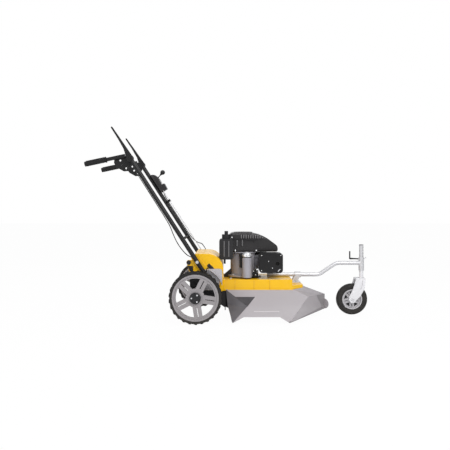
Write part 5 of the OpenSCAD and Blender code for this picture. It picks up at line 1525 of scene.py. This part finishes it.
    def _silencer(self) -> None:
        """Roll the edge of the silencer's port and clip its guard."""
        x, z = self.port_place
        rim = self.shop.spun(self.port_ring, at(x, self.guard_face, z), Axis.Y, self.port_steps)
        self.shop.hang("port_rim", Surface.BLACK_PAINT, rim)
        turn = Matrix.Rotation(self.clip_tilt, 3, "Y")
        clip = self.shop.block(*(at(*corner) for corner in self.clip), self.clip_round, turn)
        self.shop.hang("guard_clip", Surface.BRIGHT_ZINC, clip)

    def _filter(self) -> None:
        """Put ribs and a turn knob on the air filter's cover."""
        box = Box.of("air_filter")
        inner, outer = (Vector(corner) * MM for corner in self.filter_rib)
        shapes = []
        for share in self.filter_shares:
            z = box.low.z + share * box.size.z
            low, high = (Vector((x, box.high.y, z)) for x in (box.low.x, box.high.x))
            shapes.append(self.shop.block(low + inner, high + outer, self.filter_round))
        face = Vector((box.centre.x, box.high.y, box.centre.z))
        shapes.append(self.shop.spun(self.filter_knob, face, Axis.Y, self.knob_steps))
        self.shop.hang("filter_cover", Surface.BLACK_PLASTIC, *shapes)

    def _seat(self) -> None:
        """Ring the engine's seat with a dark ring and set a dark wedge by its flange, both painted shade under the
        flange, and put a foot under the tank.
        """
        ring = self.shop.spun(self.gasket, at(self.crank_x, 0.0, 0.0), Axis.Z, self.gasket_steps)
        # The dark ring is painted shade under the engine's flange.
        self.shop.hang("engine_gasket", Surface.RUBBER, ring)
        shade_wedge = self.shop.slab(self.strut_corners, *self.strut_y, self.strut_round)
        foot = self.shop.block(*(at(*corner) for corner in self.tank_foot), self.tank_foot_round)
        # The wedge is painted shade under the flange's end; the foot holds the tank.
        self.shop.hang("engine_strut", Surface.BLACK_PLASTIC, shade_wedge, foot)

    def _governor(self) -> None:
        """Set the governor's bracket by the starter: a plate, its foot and a tilted arm."""
        tilt = Matrix.Rotation(self.governor_tilt, 3, "Y")
        parts = ((self.governor_plate, None), (self.governor_foot, None), (self.governor_arm, tilt))
        shapes = [self.shop.block(at(*low), at(*high), self.governor_round, turn) for (low, high), turn in parts]
        self.shop.hang("governor_bracket", Surface.BLACK_PAINT, *shapes)


@dataclass
class Handlebar(Assembly):
    """The bars, grips, levers, control box and cables."""

    soft: Softened = (
        *((f"handlebar_{side.word}", Surface.BLACK_PAINT, 0.8, 2) for side in Side),
        *((f"grip_arm_{side.word}", Surface.BLACK_PAINT, 0.8, 2) for side in Side),
        *((f"lever_{side.word}", Surface.BLACK_PAINT, 1.0, 2) for side in Side),
        *((f"grip_{side.word}", Surface.RUBBER, 2.0, 3) for side in Side),
        ("handlebar_brace", Surface.HEAT_BLACK, 0.8, 2),
        ("shift_lever", Surface.BLACK_PLASTIC, 1.0, 2),
    )
    painted: Painted = ((Surface.ZINC, ("shift_rod",)),)
    round_steps: int = 28
    grip_drop: float = math.radians(12.0)
    rib_count: int = 15
    rib_step: float = 8.0
    rib_profile: Pairs = (
        (15.4, -3.9), (17.2, -3.9), (17.2, -1.9), (18.2, -1.1), (18.2, 1.1), (17.2, 1.9), (17.2, 3.9), (15.4, 3.9),
    )
    bar_slope: float = math.radians(57.2)
    box_length: float = 146.0
    dome: Pairs = (
        (0.0, 27.0), (36.0, 31.0), (62.0, 36.0), (84.0, 38.0), (102.0, 37.5), (116.0, 34.5), (127.0, 28.5),
        (136.0, 19.5), (142.0, 9.0), (144.0, 0.0),
    )
    dome_shrink: Spot = (72.0, 0.958, 0.917)
    dome_floor: Pairs = ((0.0, 0.0), (0.0, 3.0), (143.0, 3.0), (143.0, 0.0))
    cheek: Span = (37.0, 40.0)
    cheek_round: float = 0.8
    slot_half: float = 7.0
    slot_points: tuple[int, int] = (2, 6)
    lap: float = 0.4
    foot_block: Pairs = ((0.0, 25.0), (0.0, 47.0), (43.0, 51.0), (43.0, 28.0))
    block_round: float = 1.6
    stick_foot: Span = (100.0, 18.6)
    stick_lean: float = math.radians(16.0)
    neck_profile: Pairs = (
        (3.3, 38.0), (4.2, 40.0), (6.0, 46.0), (9.5, 53.0), (13.5, 58.5), (13.0, 61.0), (3.3, 61.0),
    )

    def trim(self) -> None:
        """Add the grips' sleeves, the control housing, the knob's neck and the round cables."""
        for side in Side:
            self._sleeve(side)
        self._housing()
        self._neck()
        copy = self.shop.copied("control_cables")
        cables = self.shop.hang("control_cables_round", Surface.RUBBER, copy, replaces=("control_cables",))
        smooth = cables.modifiers.new("Round", "SUBSURF")
        smooth.levels = smooth.render_levels = 1

    def _along_bar(self, points: Sequence[Span]) -> list[Span]:
        """Place an outline that is drawn along the bar and outwards from it.

        Args:
            points: its points from the control box's lower inner corner.

        Returns:
            The points as X and Z of the machine.
        """
        box = Box.of("control_box")
        run, rise = math.cos(self.bar_slope), math.sin(self.bar_slope)
        x, z = (box.low.x - AXLE_X) / MM + self.box_length * run, box.low.z / MM
        return [(x - along * run + out * rise, z + along * rise + out * run) for along, out in points]

    def _housing(self) -> None:
        """Dome the control box, slotted for the lever, with a dark block at its foot."""
        shop, middle = self.shop, Box.of("control_box").centre.y / MM
        inner, outer = self.cheek
        pivot, along_share, out_share = self.dome_shrink
        lining = [(pivot + (along - pivot) * along_share, out * out_share) for along, out in self.dome]
        side_view = self._along_bar(((0.0, 0.0), *self.dome))
        shapes = []
        for low, high in ((-outer, -inner), (inner, outer)):
            shapes.append(shop.slab(side_view, middle + low, middle + high, self.cheek_round))
        edge, wall = self.slot_half + self.lap, inner + self.lap
        last, first = self.slot_points
        for low, high, part in (
            (-wall, -self.slot_half, slice(None)),
            (self.slot_half, wall, slice(None)),
            (-edge, edge, slice(last + 1)),
            (-edge, edge, slice(first, None)),
        ):
            band = self._along_bar((*self.dome[part], *reversed(lining[part])))
            shapes.append(shop.slab(band, middle + low, middle + high))
        shapes.append(shop.slab(self._along_bar(self.dome_floor), *about(middle, wall)))
        shop.hang("control_housing", Surface.ENGINE_PLASTIC, *shapes, replaces=("control_box",))
        block = shop.slab(self._along_bar(self.foot_block), *about(middle, outer), self.block_round, segments=3)
        shop.hang("control_block", Surface.BLACK_PLASTIC, block)

    def _neck(self) -> None:
        """Swell the gear lever's rod into its knob."""
        (x, z), = self._along_bar((self.stick_foot,))
        neck = self.shop.spun(self.neck_profile, Vector(), Axis.Z, self.round_steps)
        foot = at(x, Box.of("control_box").centre.y / MM, z)
        self.shop.moved(neck, foot, Matrix.Rotation(self.bar_slope - self.stick_lean, 4, "Y"))
        self.shop.hang("knob_neck", Surface.BLACK_PLASTIC, neck, on="shift_lever")

    def _sleeve(self, side: Side) -> None:
        """Ring a grip with a ribbed sleeve.

        Args:
            side: the machine's side.
        """
        node = f"grip_{side.word}"
        centre, drop = Box.of(node).centre, Matrix.Rotation(-self.grip_drop, 4, "Y")
        rings = []
        for index in range(self.rib_count):
            along = (index - (self.rib_count - 1) / 2.0) * self.rib_step
            profile = [(radius, height + along) for radius, height in self.rib_profile]
            ring = self.shop.spun(profile, Vector(), Axis.X, self.round_steps)
            rings.append(self.shop.moved(ring, centre, drop))
        self.shop.hang(f"{node}_ribs", Surface.RUBBER, *rings, on=node)


@dataclass
class Drive(Assembly):
    """The pulleys, belts, gearbox and cutter under the deck."""

    soft: Softened = (("cutter_head", Surface.BLACK_PLASTIC, 1.5, 2),)
    painted: Painted = (
        (Surface.BELT, ("cutter_belt", "traction_belt")),
        (Surface.CASTING, ("spindle_housing", "gearbox_housing", "cutter_spindle")),
        (Surface.STEEL, ("bearings", "gearbox_input", "rear_axle", "cutter_idler", "traction_idler")),
        (Surface.LINE, ("trimmer_lines",)),
    )


def main() -> None:
    """Build the studio and dress the machine."""
    logging.basicConfig(level=logging.INFO, format="%(name)s: %(message)s")
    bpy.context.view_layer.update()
    Studio().build()
    shop = Workshop()
    for assembly in (RearWheels, Castor, FrontArm, Housing, GrassSkirt, Engine, Handlebar, Drive):
        assembly(shop).build()
        LOG.info("%s dressed", assembly.__name__)
    LOG.info("%d pieces hung", shop.count)


if __name__ == "__main__":
    main()
